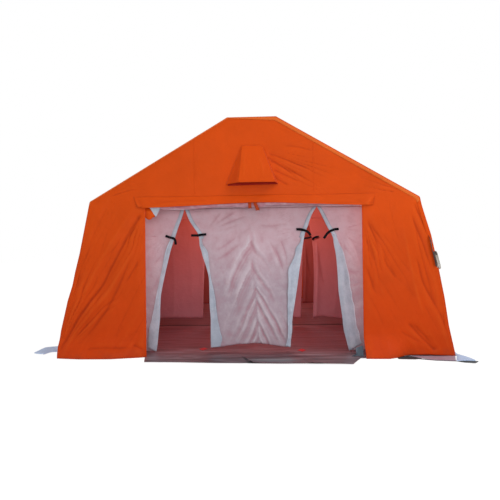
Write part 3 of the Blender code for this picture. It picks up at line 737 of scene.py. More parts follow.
def sweep(name: str, path: Array, normal: Point3, ring: Array, material: bpy.types.Material,
          closed_path: bool = False, twist: float = 0.0, lobes: float = 0.0) -> Made:
    """Carries a round section along a path.

    Each station's section lies square to the path, with its first axis as near as can be to
    the given normal. The section's radius may have lobes that turn with the path's length.

    Args:
        name: the piece's name.
        path: the centre line, (n, 3).
        normal: a direction that the path never runs along.
        ring: the section's radius at each of its points, (m,).
        material: its finish.
        closed_path: joins the last station to the first; otherwise both ends are capped.
        twist: turns of the lobes for each metre.
        lobes: depth of three lobes as a share of the radius.

    Returns:
        The object, with UV in metres along and around it.
    """
    ahead = np.roll(path, -1, axis=0) - np.roll(path, 1, axis=0)
    if not closed_path:
        ahead[0], ahead[-1] = path[1] - path[0], path[-1] - path[-2]
    ahead /= np.linalg.norm(ahead, axis=1, keepdims=True)
    first = np.asarray(normal, float) - ahead * (ahead @ np.asarray(normal, float))[:, None]
    first /= np.linalg.norm(first, axis=1, keepdims=True)
    second = np.cross(ahead, first)
    length = distance_along(path)
    angles = np.linspace(0.0, math.tau, len(ring), endpoint=False)
    phase = 1.5 * (angles[None, :] - math.tau * twist * length[:, None])
    radius = ring[None, :] * (1.0 - lobes * (1.0 - np.abs(np.cos(phase))))
    out = first[:, None] * np.cos(angles)[None, :, None] + second[:, None] * np.sin(angles)[None, :, None]
    points = path[:, None] + out * radius[..., None]
    rows, columns = len(path), len(ring)
    index = np.arange(rows * columns).reshape(rows, columns)
    wrapped = np.concatenate((index, index[:, :1]), axis=1)
    if closed_path:
        wrapped = np.concatenate((wrapped, wrapped[:1]), axis=0)
    quads = wrapped.ravel()[grid_quads(*wrapped.shape)]
    around = angles[None, :] * float(np.mean(ring))
    uv = np.stack(np.broadcast_arrays(length[:, None], around), axis=-1)
    made = mesh_object(name, points.reshape(-1, 3), quads, material, uv.reshape(-1, 2))
    if not closed_path:
        cap_ends(made)
    return made


def cap_ends(made: Made) -> None:
    """Closes the open ends of a tube with one face each."""
    form = bmesh.new()
    form.from_mesh(made.data)
    bmesh.ops.holes_fill(form, edges=[edge for edge in form.edges if edge.is_boundary], sides=0)
    bmesh.ops.recalc_face_normals(form, faces=form.faces)
    form.to_mesh(made.data)
    form.free()


def ribbon(name: str, path: Array, normals: Array, width: float, finish: Any,
           thickness: float = 0.0015) -> Made:
    """A flat tape along a path: five points across its width, square to the path and to the given normals.

    Args:
        name: the piece's name.
        path: its centre line, (n, 3).
        normals: the way its face looks, one for all or one for each point.
        width: across it.
        finish: its finish.
        thickness: of the tape.

    Returns:
        The object.
    """
    normals = np.broadcast_to(np.asarray(normals, float), path.shape)
    across = np.cross(np.gradient(path, axis=0), normals)
    across /= np.linalg.norm(across, axis=1, keepdims=True)
    share = np.linspace(-0.5, 0.5, 5)
    crown = (0.25 - share ** 2) * 0.1 * width
    points = path[:, None] + across[:, None] * (share * width)[None, :, None]
    points = points + normals[:, None] * crown[None, :, None]
    flat = np.stack(np.broadcast_arrays(distance_along(path)[:, None], (share * width)[None, :]), axis=-1)
    made = mesh_object(name, points.reshape(-1, 3), grid_quads(*points.shape[:2]), finish.material(),
                       flat.reshape(-1, 2), {"fold": np.full(points[..., 0].size, 0.5)})
    solid = made.modifiers.new("thickness", "SOLIDIFY")
    solid.thickness = thickness
    solid.offset = 0.0
    return made


def polygon_area(corners: Sequence[Point2]) -> float:
    """The area inside an outline, by the shoelace rule."""
    x, z = np.asarray(corners, float).T
    return abs(float(x @ np.roll(z, -1) - z @ np.roll(x, -1))) / 2


# The tent's shape


@dataclass(frozen=True)
class TentShape:
    """The outer skin's cross-section and length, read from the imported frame."""

    base_half: float
    eave_half: float
    eave: float
    ridge: float
    half_length: float
    top_half: float = 0.325
    # The three bays are divided by four hoops.
    hoops: tuple[float, ...] = (-3.704, -1.235, 1.235, 3.704)
    bay_ends: tuple[float, ...] = (-3.75, -1.235, 1.235, 3.75)
    # How far each side wall hangs out of its straight line, by height.
    loose_left: tuple[Point2, ...] = ((0.0, 0.0), (0.16, 0.038), (0.36, 0.050), (0.77, 0.038), (0.97, 0.014),
                                      (1.17, 0.012), (1.40, 0.0))
    loose_right: tuple[Point2, ...] = ((0.40, 0.0), (0.77, 0.026), (1.17, 0.035), (1.60, 0.035), (1.90, 0.008),
                                       (2.0, 0.0))

    @classmethod
    def from_frame(cls) -> "TentShape":
        """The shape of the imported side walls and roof."""
        wall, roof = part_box("side_wall_right")[1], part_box("roof_cover")[1]
        return cls(wall.x, roof.x, wall.z, roof.z, roof.y)

    def lines(self) -> tuple[tuple[float, float, float], ...]:
        """The wall and the roof's slope, each as (X at Z = 0, change of X with Z, length of its normal)."""
        made = []
        for (x0, z0), (x1, z1) in (((self.base_half, 0.0), (self.eave_half, self.eave)),
                                   ((self.eave_half, self.eave), (self.top_half, self.ridge))):
            slope = (x1 - x0) / (z1 - z0)
            made.append((x0 - slope * z0, slope, math.hypot(1.0, slope)))
        return tuple(made)

    def half_width(self, z: Array | float, inside: float = 0.0) -> Array:
        """Half the width at a height, so far inside the skin: the lesser of the wall's and roof's lines."""
        return np.minimum(*[start + slope * z - inside * size for start, slope, size in self.lines()])

    def billow(self, x: Array, z: Array) -> Array:
        """How far loose cloth near a side wall lies out of the straight line, along X."""
        return np.where(x < 0, -straight(self.loose_left, z), straight(self.loose_right, z))

    def depth_inside(self, x: Array, z: Array) -> Array:
        """How far a point lies inside the wall, roof and top lines."""
        sides = [(start + slope * z - np.abs(x)) / size for start, slope, size in self.lines()]
        return np.minimum(np.minimum(*sides), self.ridge - z)

    def corners(self, inside: float) -> Array:
        """Foot, eave and top corners of the right half, then of the left, moved in by a distance."""
        wall, roof = self.lines()
        ridge = self.ridge - inside
        eave = ((wall[0] - inside * wall[2]) - (roof[0] - inside * roof[2])) / (roof[1] - wall[1])
        right = [(float(self.half_width(z, inside)), z) for z in (0.0, eave, ridge)]
        return np.array(right + [(-x, z) for x, z in reversed(right)])

    def gable_area(self, bottom: float) -> float:
        """The area of the cross-section above a height."""
        eave = (self.eave_half, self.eave)
        low = [(float(self.half_width(bottom)), bottom)] if bottom < self.eave else []
        right = [*low, eave, (self.top_half, self.ridge)]
        return polygon_area(right + [(-x, z) for x, z in reversed(right)])

    def bay_share(self, y: Array) -> Array:
        """How far each Y lies between its bay's two ends, from 0 to 1."""
        number = np.clip(np.searchsorted(self.bay_ends, y, side="right") - 1, 0, 2)
        ends = np.asarray(self.bay_ends)
        return np.clip((y - ends[number]) / (ends[number + 1] - ends[number]), 0.0, 1.0)


@dataclass
class Skin:
    """The roof cover and the two side walls: long sheets stretched over the hoops, turned in at both ends."""

    shape: TentShape
    lip: float = 0.03
    hem: float = 0.03
    hem_proud: float = 0.0035
    overlap: float = 0.045
    corner: float = 0.03
    # The roof is drawn to the right, so its hem shows less on the left.
    left_share: float = 0.35
    roof_sag: float = 0.026
    wall_sag: float = 0.03
    hoop_ridge: float = 0.007

    def stations(self, proud: float) -> tuple[Array, Array]:
        """Y and depth inside the skin, from the front hem round its lip and along to the rear hem."""
        turn = np.linspace(math.pi / 2, 0.0, 6)
        front = -self.shape.half_length
        ahead = self.hem_proud + proud
        lip_y = front + self.lip * (1 - np.sin(turn)) - ahead * np.sin(turn)
        lip_in = self.lip * (1 - np.cos(turn))
        hem_in = self.lip + self.hem * np.array([1.0, 0.5])
        y = np.concatenate((np.full(2, front - ahead), lip_y))
        inside = np.concatenate((hem_in, lip_in))
        count = int(2 * self.shape.half_length / 0.028)
        middle = np.linspace(y[-1], -y[-1], count)[1:-1]
        depth = np.concatenate((inside, np.zeros(count - 2), inside[::-1]))
        return np.concatenate((y, middle, -y[::-1])), depth

    def arc(self, corners: Array, counts: Sequence[int]) -> Array:
        """A line through corners, rounded at each inner one by a quadratic curve between straight runs."""
        points = []
        for place in range(len(corners) - 1):
            a, b = corners[place], corners[place + 1]
            unit = (b - a) / np.linalg.norm(b - a)
            start = a + unit * (self.corner if place else 0.0)
            end = b - unit * (self.corner if place < len(corners) - 2 else 0.0)
            t = np.linspace(0, 1, counts[place], endpoint=place == len(corners) - 2)[:, None]
            points.append(start + (end - start) * t)
            if place < len(corners) - 2:
                ahead = (corners[place + 2] - b) / np.linalg.norm(corners[place + 2] - b)
                t = np.linspace(0, 1, 5, endpoint=False)[:, None]
                leave = b + ahead * self.corner
                points.append(end * (1 - t) ** 2 + b * 2 * t * (1 - t) + leave * t ** 2)
        return np.vstack(points)

    def strip(self, name: str, runs: Callable[[float], Array], counts: Sequence[int],
              relief: Callable[[Array, Array, Array, Array], Array], proud: float) -> Cloth:
        """A sheet that follows part of the cross-section along the tent.

        Args:
            name: the piece's name.
            runs: gives the section's corners at a depth inside the skin.
            counts: grid points along each run of the section.
            relief: gives the height from the section's share, its length, X-Z points and Y.
            proud: distance outside the skin's line.

        Returns:
            The sheet.
        """
        y, inside = self.stations(proud)
        section = np.stack([self.arc(runs(depth - proud), counts) for depth in inside])
        outer = self.arc(runs(-proud), counts)
        ahead = np.gradient(outer, axis=0)
        ahead /= np.linalg.norm(ahead, axis=1, keepdims=True)
        out = np.stack((ahead[:, 1], -ahead[:, 0]), axis=-1)
        across, along = np.meshgrid(distance_along(outer), y)
        lift = relief(across, along, np.broadcast_to(outer[:, 0], across.shape),
                      np.broadcast_to(outer[:, 1], across.shape))
        lift = lift * smooth((self.shape.half_length - 0.01 - np.abs(along)) / 0.15)
        x, z = section[..., 0] + out[:, 0] * lift, section[..., 1] + out[:, 1] * lift
        seam = np.min(np.abs(along[..., None] - np.array(self.shape.hoops)), axis=-1)
        finish = ROOF_SKIN if name == "roof" else SKIN
        x = x + self.shape.billow(x, z)
        # The section runs from right to left, so rows go backwards.
        return Cloth(name, x, along, z, lift, finish, Slot.SKIN, 0, (across, along), seam)

    def hoop_lift(self, along: Array) -> Array:
        """A low ridge where the cloth is drawn over each hoop: a bell curve 6 cm wide."""
        away = np.min(np.abs(along[..., None] - np.array(self.shape.hoops)), axis=-1)
        return self.hoop_ridge * np.exp(-(away / 0.045) ** 2)

    def roof_relief(self, across: Array, along: Array, x: Array, z: Array) -> Array:
        """The roof's height: a sag between each two hoops and the roof's corners, and pulled creases."""
        shape = self.shape
        bay = shape.bay_share(along)
        slope = np.clip((np.abs(x) - shape.top_half) / (shape.eave_half - shape.top_half), 0, 1)
        top = np.clip(1 - np.abs(x) / shape.top_half, 0, 1)
        span = np.maximum(np.sin(math.pi * slope), 0.55 * smooth(top * 1.5))
        sag = -self.roof_sag * np.sin(math.pi * bay) ** 1.4 * span
        side = np.sign(x)
        u, v = turned(along, across * side, 62)
        pulled = 0.013 * crumple(u * 0.8, v * 4.5, 11) * np.sin(math.pi * bay) * span
        u, v = turned(along, across * side, -58)
        pulled += 0.009 * crumple(u * 0.9 + 7, v * 5.5, 17) * (0.3 + 0.7 * span)
        fine = 0.0022 * crumple(along * 7, across * 5, 23)
        return sag + pulled + fine + self.hoop_lift(along)

    def wall_relief(self, across: Array, along: Array, x: Array, z: Array) -> Array:
        """The wall's height: slack between the legs, creases that slant from the eaves, a loose foot."""
        bay = self.shape.bay_share(along)
        up = z / self.shape.eave
        sag = -self.wall_sag * np.sin(math.pi * bay) ** 1.3 * np.sin(math.pi * np.clip(up, 0, 1)) ** 0.8
        side = np.sign(x)
        lean = np.where(bay < 0.5, 1.0, -1.0)
        u, v = turned(along * lean, z, 57)
        weight = np.abs(bay - 0.5) * 2
        pulled = 0.026 * (crumple(u * 0.45 + side * 3, v * 3.4, 31) - 0.2) * weight ** 0.7
        upright = 0.022 * (crumple(along * 3.0, z * 0.5 + side, 37) - 0.2) * (1 - 0.6 * weight)
        loose = 0.012 * (1.0 + noise(along * 2.6, z * 1.2, 41)) * smooth((0.5 - z) / 0.5)
        fine = 0.003 * crumple(along * 6.5, z * 4.5, 43)
        held = smooth((self.shape.eave - z) / 0.18)
        return sag + (pulled + upright + loose) * held + fine + self.hoop_lift(along) * 0.8

    def build(self) -> None:
        """Makes the roof and both side walls."""
        shape = self.shape

        def roof_runs(depth: float) -> Array:
            corners = shape.corners(depth)
            left = shape.corners(min(depth, depth * self.left_share))
            unit = (corners[0] - corners[1]) / np.linalg.norm(corners[0] - corners[1])
            start, end = corners[1] + unit * self.overlap, left[4] + unit * [-self.overlap, self.overlap]
            return np.vstack((start, corners[1:3], left[3:5], end))

        roof = self.strip("roof", roof_runs, (3, 78, 24, 78, 3), self.roof_relief, 0.0015)
        fit(roof.make(), "tent", ("roof_cover",))

        for side, word in ((1, "right"), (-1, "left")):
            def wall_runs(depth: float, side: int = side) -> Array:
                foot, eave = shape.corners(depth)[:2]
                line = np.vstack((foot + [0, 0.003], eave - (eave - foot) * 0.004))
                return line if side > 0 else line[::-1] * [-1, 1]
            wall = self.strip(f"wall_{word}", wall_runs, (92,), self.wall_relief, 0.0)
            fit(wall.make(), "tent", (f"side_wall_{word}",))


SIDES, HOOPS = ("left", "right"), range(1, 5)
HOOP_NODES = [f"rafter_{side}_{number}" for side in SIDES for number in HOOPS]


def columns_back(needed: bool) -> int | None:
    """A sheet's axis to run backwards, where its columns need it to face outwards."""
    return 1 if needed else None


def fit(made: Made, body: str | None, replaced: Sequence[str],
        area: float | None = None) -> None:
    """Puts a sheet of cloth on its body and hides the solids that it stands for.

    Args:
        made: the sheet's object.
        body: the body that it rides on, or None to leave it unparented.
        replaced: CAD nodes that it stands for.
        area: its cut area where that isn't a rectangle; not used.
    """
    if body:
        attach(made, body)
    if replaced:
        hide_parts(*replaced)


@dataclass
class EndWall:
    """An end wall: one sheet with a doorway cut out of it, creased by the pull of its corners."""

    shape: TentShape
    name: str
    facing: float
    replaced: tuple[str, ...]
    folds: tuple[Crease, ...]
    door_half: float = 1.45
    door_head: float = 2.03
    seams: tuple[float, ...] = (-0.775, 0.82)
    seed: int = 50
    slack: float = 0.004
    # How far the loose hem lies forward, by X.
    kick: tuple[Point2, ...] = ((-2.65, 0.03), (2.65, 0.03))
    kick_top: float = 0.34
    # How far the hem is drawn up, by X.
    rise: tuple[Point2, ...] = ((-2.65, 0.0), (2.65, 0.0))
    # How far the doorway's head is arched, by X.
    arch: tuple[Point2, ...] = ((-2.65, 0.0), (2.65, 0.0))

    def lift(self, x: Array, z: Array) -> Array:
        """How far the cloth stands out: its creases, slanting crumples, a loose foot, flat at the roof."""
        side = np.sign(x)
        panel = smooth((np.abs(x) - self.door_half + 0.1) / 0.2) * smooth((2.4 - z) / 0.5)
        u, v = turned(x * side, z, -62)
        slanting = 0.017 * (1.1 - crumple(u * 0.6, v * 4.2 + side, self.seed, 4)) * panel
        fine = 0.0026 * crumple(x * 6.0, z * 5.0, self.seed + 5)
        slack = self.slack * noise(x * 1.1, z * 1.3, self.seed + 9)
        foot = 0.010 * (0.6 + noise(x * 2.3, z * 0.8, self.seed + 3)) * smooth((0.42 - z) / 0.42) * panel
        total = folds_lift(self.folds, x, z) + slanting + fine + slack + foot
        total = total * smooth(self.shape.depth_inside(x, z) / 0.11)
        return np.maximum(total, -0.014)

    def place(self, x: Array, z: Array, proud: float = 0.0) -> Array:
        """The cloth's points at X and Z, with a distance in front of it."""
        low = smooth((self.kick_top - z) / self.kick_top)
        forward = straight(self.kick, x) * low ** 1.6
        y = self.facing * (self.shape.half_length + self.lift(x, z) + proud + forward)
        out = self.shape.billow(x, z) * smooth((np.abs(x) - 1.6) / 0.6)
        up = straight(self.rise, x) * low
        up += straight(self.arch, x) * smooth(1 - np.abs(z - self.door_head) / 0.10)
        return np.stack(np.broadcast_arrays(x + out, y, z + up), axis=-1)

    def grid(self) -> tuple[Array, Array]:
        """X and Z on a grid whose lines follow the tent's sides and the doorway's edges."""
        shape = self.shape
        head_rows = np.linspace(0.004, self.door_head, int(self.door_head / GRID_STEP))
        rows = int((shape.ridge - self.door_head) / GRID_STEP)
        top_rows = np.linspace(self.door_head, shape.ridge - 0.004, rows)
        z = np.concatenate((head_rows, top_rows[1:]))[:, None]
        half = shape.half_width(z, 0.002)
        share = self.door_half / float(shape.half_width(self.door_head))
        door = np.minimum(self.door_half, share * half)
        side_columns = int((shape.base_half - self.door_half) / GRID_STEP)
        door_columns = int(2 * self.door_half / GRID_STEP)
        s = np.linspace(0, 1, side_columns)[None, :]
        middle = np.linspace(-1, 1, door_columns)[None, 1:-1] * door
        right = door + (half - door) * s
        x = np.concatenate((-right[:, ::-1], middle, right), axis=1)
        return x, np.broadcast_to(z, x.shape)

    def build(self) -> Made:
        """Makes the wall and its seams."""
        x, z = self.grid()
        middle_x = np.abs((x[:-1, :-1] + x[1:, 1:]) / 2)
        middle_z = (z[:-1, :-1] + z[1:, 1:]) / 2
        keep = ~((middle_x < self.door_half - 1e-4) & (middle_z < self.door_head))
        door_edge = np.hypot(np.maximum(np.abs(x) - self.door_half, 0), np.maximum(z - self.door_head, 0))
        made = Cloth(self.name, *np.moveaxis(self.place(x, z), -1, 0), self.lift(x, z), SKIN, Slot.SKIN,
                     columns_back(self.facing > 0), (x, z), np.minimum(door_edge, z), keep).make()
        seams = [self.seam(number, place) for number, place in enumerate(self.seams)]
        area = self.shape.gable_area(0.0) - 2 * self.door_half * self.door_head
        fit(made, "tent", self.replaced, area)
        return made

    def seam(self, number: int, place: float) -> Made:
        """A flat-felled seam up the gable: a doubled strip 14 mm wide that follows the cloth."""
        top = self.shape.ridge - (abs(place) - self.shape.top_half) * 0.587 - 0.06
        z = np.linspace(2.2, top, 60)
        path = self.place(np.full(60, place), z, 0.0015)
        name = f"{self.name}_seam_{number + 1}"
        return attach(ribbon(name, path, (0, self.facing, 0), 0.014, SKIN, 0.001), "tent")


FRONT_FOLDS = (
    # Left panel: creases from the door's head down to the left foot, with two soft ridges between them
    Fold(((-1.493, 1.959), (-1.673, 1.658), (-1.896, 1.253), (-2.041, 0.953), (-2.26, 0.651), (-2.461, 0.314),
          (-2.627, 0.064)), -0.020, 0.030, 0.050, 0.05, 0.05),
    Fold(((-2.161, 1.617), (-2.321, 1.213), (-2.494, 0.781)), -0.011, 0.030, 0.040),
    Fold(((-2.309, 1.203), (-2.463, 0.781), (-2.569, 0.456)), -0.012, 0.025, 0.035),
    Fold(((-1.607, 1.448), (-1.775, 1.045), (-1.97, 0.628), (-2.227, 0.279), (-2.463, 0.083)), -0.014, 0.030,
         0.040),
    Fold(((-1.516, 1.339), (-1.651, 1.124), (-1.753, 0.95)), -0.008, 0.020, 0.030),
    Fold(((-1.934, 0.844), (-2.163, 0.535), (-2.409, 0.212)), -0.010, 0.025, 0.030),
    Fold(((-1.652, 0.186), (-1.552, 0.141), (-1.458, 0.073)), -0.009, 0.015, 0.020),
    Fold(((-2.29, 0.117), (-2.016, 0.143), (-1.743, 0.134), (-1.539, 0.127)), -0.007, 0.015, 0.020),
    Fold(((-1.50, 1.66), (-1.75, 1.24), (-2.0, 0.80), (-2.3, 0.42)), 0.016, 0.080, 0.060),
    Fold(((-1.66, 1.95), (-1.98, 1.45), (-2.22, 1.0), (-2.5, 0.45)), 0.016, 0.060, 0.090),
    Fan((-2.68, -0.04), 38.0, 80.0, 4.2, 1.9, -0.012, 155),
    Fan((-1.42, 2.06), 226.0, 262.0, 5.5, 1.3, -0.011, 156),
    # Right panel
    Fold(((2.12, 2.09), (2.20, 1.84), (2.31, 1.49)), -0.014, 0.050, 0.016),
    Fold(((2.08, 1.96), (2.13, 1.72), (2.23, 1.42), (2.36, 0.99)), -0.016, 0.050, 0.016),
    Fold(((2.11, 1.39), (2.16, 1.15), (2.24, 0.90), (2.49, 0.47)), -0.016, 0.050, 0.018),
    Fold(((1.70, 1.46), (1.76, 1.22), (1.90, 1.01), (1.98, 0.91)), -0.010, 0.040, 0.016),
    Fold(((2.01, 0.47), (2.16, 0.30), (2.39, 0.04)), -0.015, 0.040, 0.016, 0.2, 0.1),
    Fold(((2.08, 0.46), (2.24, 0.28), (2.38, 0.11)), -0.011, 0.025, 0.016),
    Fold(((1.90, 0.36), (2.06, 0.25), (2.28, 0.13)), -0.007, 0.035, 0.016),
    Fold(((2.40, 0.64), (2.52, 0.39), (2.58, 0.21)), -0.010, 0.030, 0.016),
    Fold(((1.50, 1.85), (1.59, 1.63), (1.71, 1.30)), -0.014, 0.040, 0.016),
    Fold(((1.50, 1.61), (1.54, 1.46), (1.60, 1.19)), -0.010, 0.030, 0.014),
    Fold(((1.50, 1.24), (1.58, 0.93), (1.66, 0.75)), -0.009, 0.030, 0.016),
    Fold(((2.09, 1.91), (2.17, 1.41), (2.39, 0.57)), -0.010, 0.040, 0.020),
    Fold(((1.95, 1.85), (2.02, 1.35), (2.15, 0.75), (2.35, 0.30)), 0.016, 0.090, 0.060),
    Fan((1.44, 2.04), -88.0, -50.0, 5.0, 1.4, -0.011, 154),
    # Gable: a fan to the right of the vent hood, and pulls from the eaves
    Fan((0.06, 2.80), -42.0, -6.0, 4.4, 1.35, -0.012, 151),
    Fan((2.10, 2.12), 95.0, 175.0, 9.0, 0.9, -0.007, 152),
    Fan((-2.10, 2.12), 5.0, 80.0, 9.0, 0.9, -0.007, 153),
    Fold(((0.19, 2.73), (0.43, 2.64), (0.68, 2.54), (0.90, 2.48)), -0.009, 0.026, 0.018, 0.1),
    Fold(((0.18, 2.68), (0.33, 2.59), (0.53, 2.47), (0.78, 2.35)), -0.010, 0.026, 0.018, 0.1),
    Fold(((0.23, 2.63), (0.38, 2.54), (0.63, 2.39)), -0.007, 0.022, 0.018, 0.1),
    Fold(((0.27, 2.51), (0.43, 2.43), (0.73, 2.29)), -0.009, 0.022, 0.018, 0.1),
    Fold(((0.28, 2.42), (0.39, 2.34), (0.53, 2.27)), -0.008, 0.019, 0.018, 0.1),
    Fold(((0.39, 2.83), (0.64, 2.79), (0.91, 2.71)), -0.006, 0.030, 0.018),
)

FRONT_KICK = ((-2.65, 0.07), (-2.3, 0.12), (-1.9, 0.11), (-1.45, 0.0), (1.45, 0.14), (1.75, 0.15), (1.86, 0.09),
              (1.95, 0.05), (2.05, 0.0), (2.65, 0.0))
FRONT_ARCH = ((-1.1, 0.0), (-0.75, 0.006), (-0.35, 0.020), (-0.03, 0.031), (0.30, 0.029), (0.95, 0.0))
FRONT_RISE = ((1.86, 0.0), (2.0, 0.016), (2.3, 0.020), (2.6, 0.004), (2.65, 0.0))

REAR_FOLDS = (
    Fold(((-2.58, 0.06), (-2.2, 0.8), (-1.85, 1.5), (-1.6, 1.95)), 0.026, 0.06, 0.05),
    Fold(((-2.3, 0.05), (-2.05, 0.6), (-1.8, 1.1), (-1.6, 1.4)), 0.020, 0.05, 0.05),
    Fold(((2.55, 0.06), (2.25, 0.7), (1.9, 1.3), (1.62, 1.9)), 0.026, 0.05, 0.06),
    Fold(((2.2, 0.05), (1.98, 0.5), (1.7, 1.0)), 0.018, 0.05, 0.05),
    Fold(((-1.9, 2.2), (-1.2, 2.35), (-0.5, 2.3)), 0.012, 0.05, 0.03),
    Fold(((0.5, 2.3), (1.1, 2.45), (1.7, 2.25)), 0.012, 0.05, 0.03),
    Fold(((0.35, 2.75), (0.9, 2.6), (1.4, 2.35)), 0.010, 0.04, 0.03),
)


@dataclass
class DoorHead:
    """Over the front doorway: the flap, the rolled-up door with its lining outwards, and two tie loops."""

    wall: EndWall
    half: float = 1.42
    middle: Point2 = (-3.683, 2.065)
    core: float = 0.010
    pitch: float = 0.0042
    turns: float = 10.5
    flat: Point2 = (2.84, 2.05)
    flap_top: float = 2.165
    flap_edge: tuple[Point2, ...] = (
        (-1.56, 2.030), (-1.45, 2.011), (-0.75, 2.033), (-0.35, 2.053), (-0.03, 2.064), (0.30, 2.062),
        (0.8, 2.034), (1.43, 2.006), (1.60, 2.004))
    roll_rise: tuple[Point2, ...] = (
        (-1.42, 0.004), (-0.99, -0.010), (-0.65, 0.004), (-0.30, 0.018), (-0.20, 0.010), (-0.13, 0.002),
        (-0.05, 0.016), (0.04, 0.016), (0.11, 0.000), (0.17, 0.014), (0.26, 0.024), (1.42, 0.026))
    cloth: float = 0.001

    def roll(self) -> None:
        """The rolled door: a spiral in Y and Z carried along X, whose outer turns hang a little."""
        angle = np.linspace(0, math.tau * self.turns, int(self.turns * 26))
        x = np.linspace(-self.half, self.half, 90)
        a, x = np.meshgrid(angle, x)
        radius = self.core + self.pitch * a / math.tau
        share = radius / radius.max()
        wobble = 0.004 * noise(x * 2.1, a * 0.7, 71) * share ** 2
        wobble += 0.0035 * crumple(x * 6, a * 0.9, 73) * share ** 4
        radius = radius + wobble
        rise = profile(self.roll_rise)(x)
        low = np.maximum(0.0, -np.sin(a))
        slack = 0.012 * (0.5 + noise(x * 1.7, x * 0, 75)) * share ** 4 * low
        y, z = self.middle[0] + radius * np.cos(a), self.middle[1] + rise + radius * np.sin(a) - slack
        cloth = Cloth("front_door_roll_cloth", x, y, z, wobble * 4, ROLL_LINING, Slot.ROLLED,
                      flat=(x, a * radius / 2), thickness=self.cloth, other_side=SKIN)
        fit(cloth.make(), "tent", ("front_door_roll",))

    def loose_corner(self) -> None:
        """The door's corner that hangs out of the roll's left end: a funnel of cloth and its lining."""
        s, t = shares(24, 24)
        left = -1.462
        right = np.interp(t, (0.0, 0.75, 0.9, 1.0), (-1.415, -1.312, -1.325, -1.345))
        x = left + (right - left) * s
        z = 2.035 - 0.150 * t - 0.032 * np.sin(math.pi * np.clip(s * 1.15 - 0.05, 0, 1)) * t ** 2
        bulge = 0.030 * np.sin(math.pi * s) ** 0.7 * smooth(t * 2) * np.sqrt(np.clip(1.02 - t ** 3, 0, 1))
        y = -3.722 - bulge + 0.004 * noise(s * 3, t * 4, 81)
        bag = Cloth("front_door_corner", x, y, z, bulge, SKIN, Slot.SKIN, 0, thickness=self.cloth,
                    other_side=ROLL_LINING)
        fit(bag.make(), "tent", (), 0.019)
        left = -1.412 + 0.098 * t
        right = -1.235 - 0.073 * t
        x = left + (right - left) * s
        z = 2.045 - 0.151 * t - 0.012 * s * (1 - t) + 0.004 * noise(s * 3, t * 3, 83)
        y = -3.745 + 0.012 * t - 0.010 * np.sin(math.pi * s) * (1 - t)
        bulge = 0.01 * np.sin(math.pi * s)
        lining = Cloth("front_door_corner_lining", x, y, z, bulge, LEAF_CLOTH, Slot.ROLLED, 0,
                       thickness=self.cloth)
        fit(lining.make(), "tent", (), 0.0145)

    def loops(self) -> None:
        """Two orange tapes that hold the roll and hang below it with their ends turned up."""
        for number, (top, low, drop) in enumerate(((-0.038, -0.036, 1.990), (0.036, 0.066, 1.964)), 1):
            path = smooth_line((
                (top, -3.752, 2.10), (top, -3.760, 2.05), (low * 0.6 + top * 0.4, -3.752, 2.005),
                (low, -3.742, drop), (low + 0.004, -3.732, drop + 0.004),
                (low * 0.7 + top * 0.3, -3.728, 2.0)), 10)
            normals = np.cross((1.0, 0.0, 0.0), np.gradient(path, axis=0))
            normals /= np.linalg.norm(normals, axis=1, keepdims=True)
            made = ribbon(f"roll_tie_{number}", path, normals, 0.044, ORANGE_TAPE)
            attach(made, "tent")

    def flap(self) -> None:
        """The flap: it leaves the wall at its seam, bows out over the roll and ends in an arched hem."""
        s, t = shares(170, 14, down=True)
        left, right = -1.612 + 0.055 * t, 1.632 - 0.03 * t
        x = left + (right - left) * s
        top = self.flap_top + 0.005 * noise(x * 5.0, x * 0, 65)
        z = top + (profile(self.flap_edge)(x) - top) * t
        ends = smooth(np.minimum(x - left, right - x) / 0.16)
        wave = 0.5 + 0.5 * noise(x * 1.6, t * 0.6, 61)
        crease = 0.010 * crumple(x * 3.2 + z * 4, z * 5, 63) * smooth(t / 0.2)
        tabs = (Fold(((-1.60, 2.16), (-1.53, 2.02)), 0.014, 0.02, 0.015, 0.02, 0.02),
                Fold(((1.62, 2.15), (1.50, 2.01)), 0.014, 0.015, 0.02, 0.02, 0.02),
                Fold(((-1.43, 2.02), (-1.0, 2.07), (-0.4, 2.06)), 0.008, 0.012, 0.02))
        lift = (0.008 + (0.012 + 0.010 * wave) * ends) * t ** 1.5 + crease * ends + folds_lift(tabs, x, z) * t
        y = -(self.wall.shape.half_length + self.wall.lift(x, z) + 0.002 + lift)
        made = Cloth("door_head_flap_cloth", x, y, z, lift, SKIN, Slot.SKIN, edge=(1 - t) * 0.13).make()
        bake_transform(made)
        fit(made, None, ("door_head_flap",))

    def build(self) -> None:
        """Makes the flap, the roll and what hangs from it."""
        self.roll()
        self.loose_corner()
        self.loops()
        self.flap()


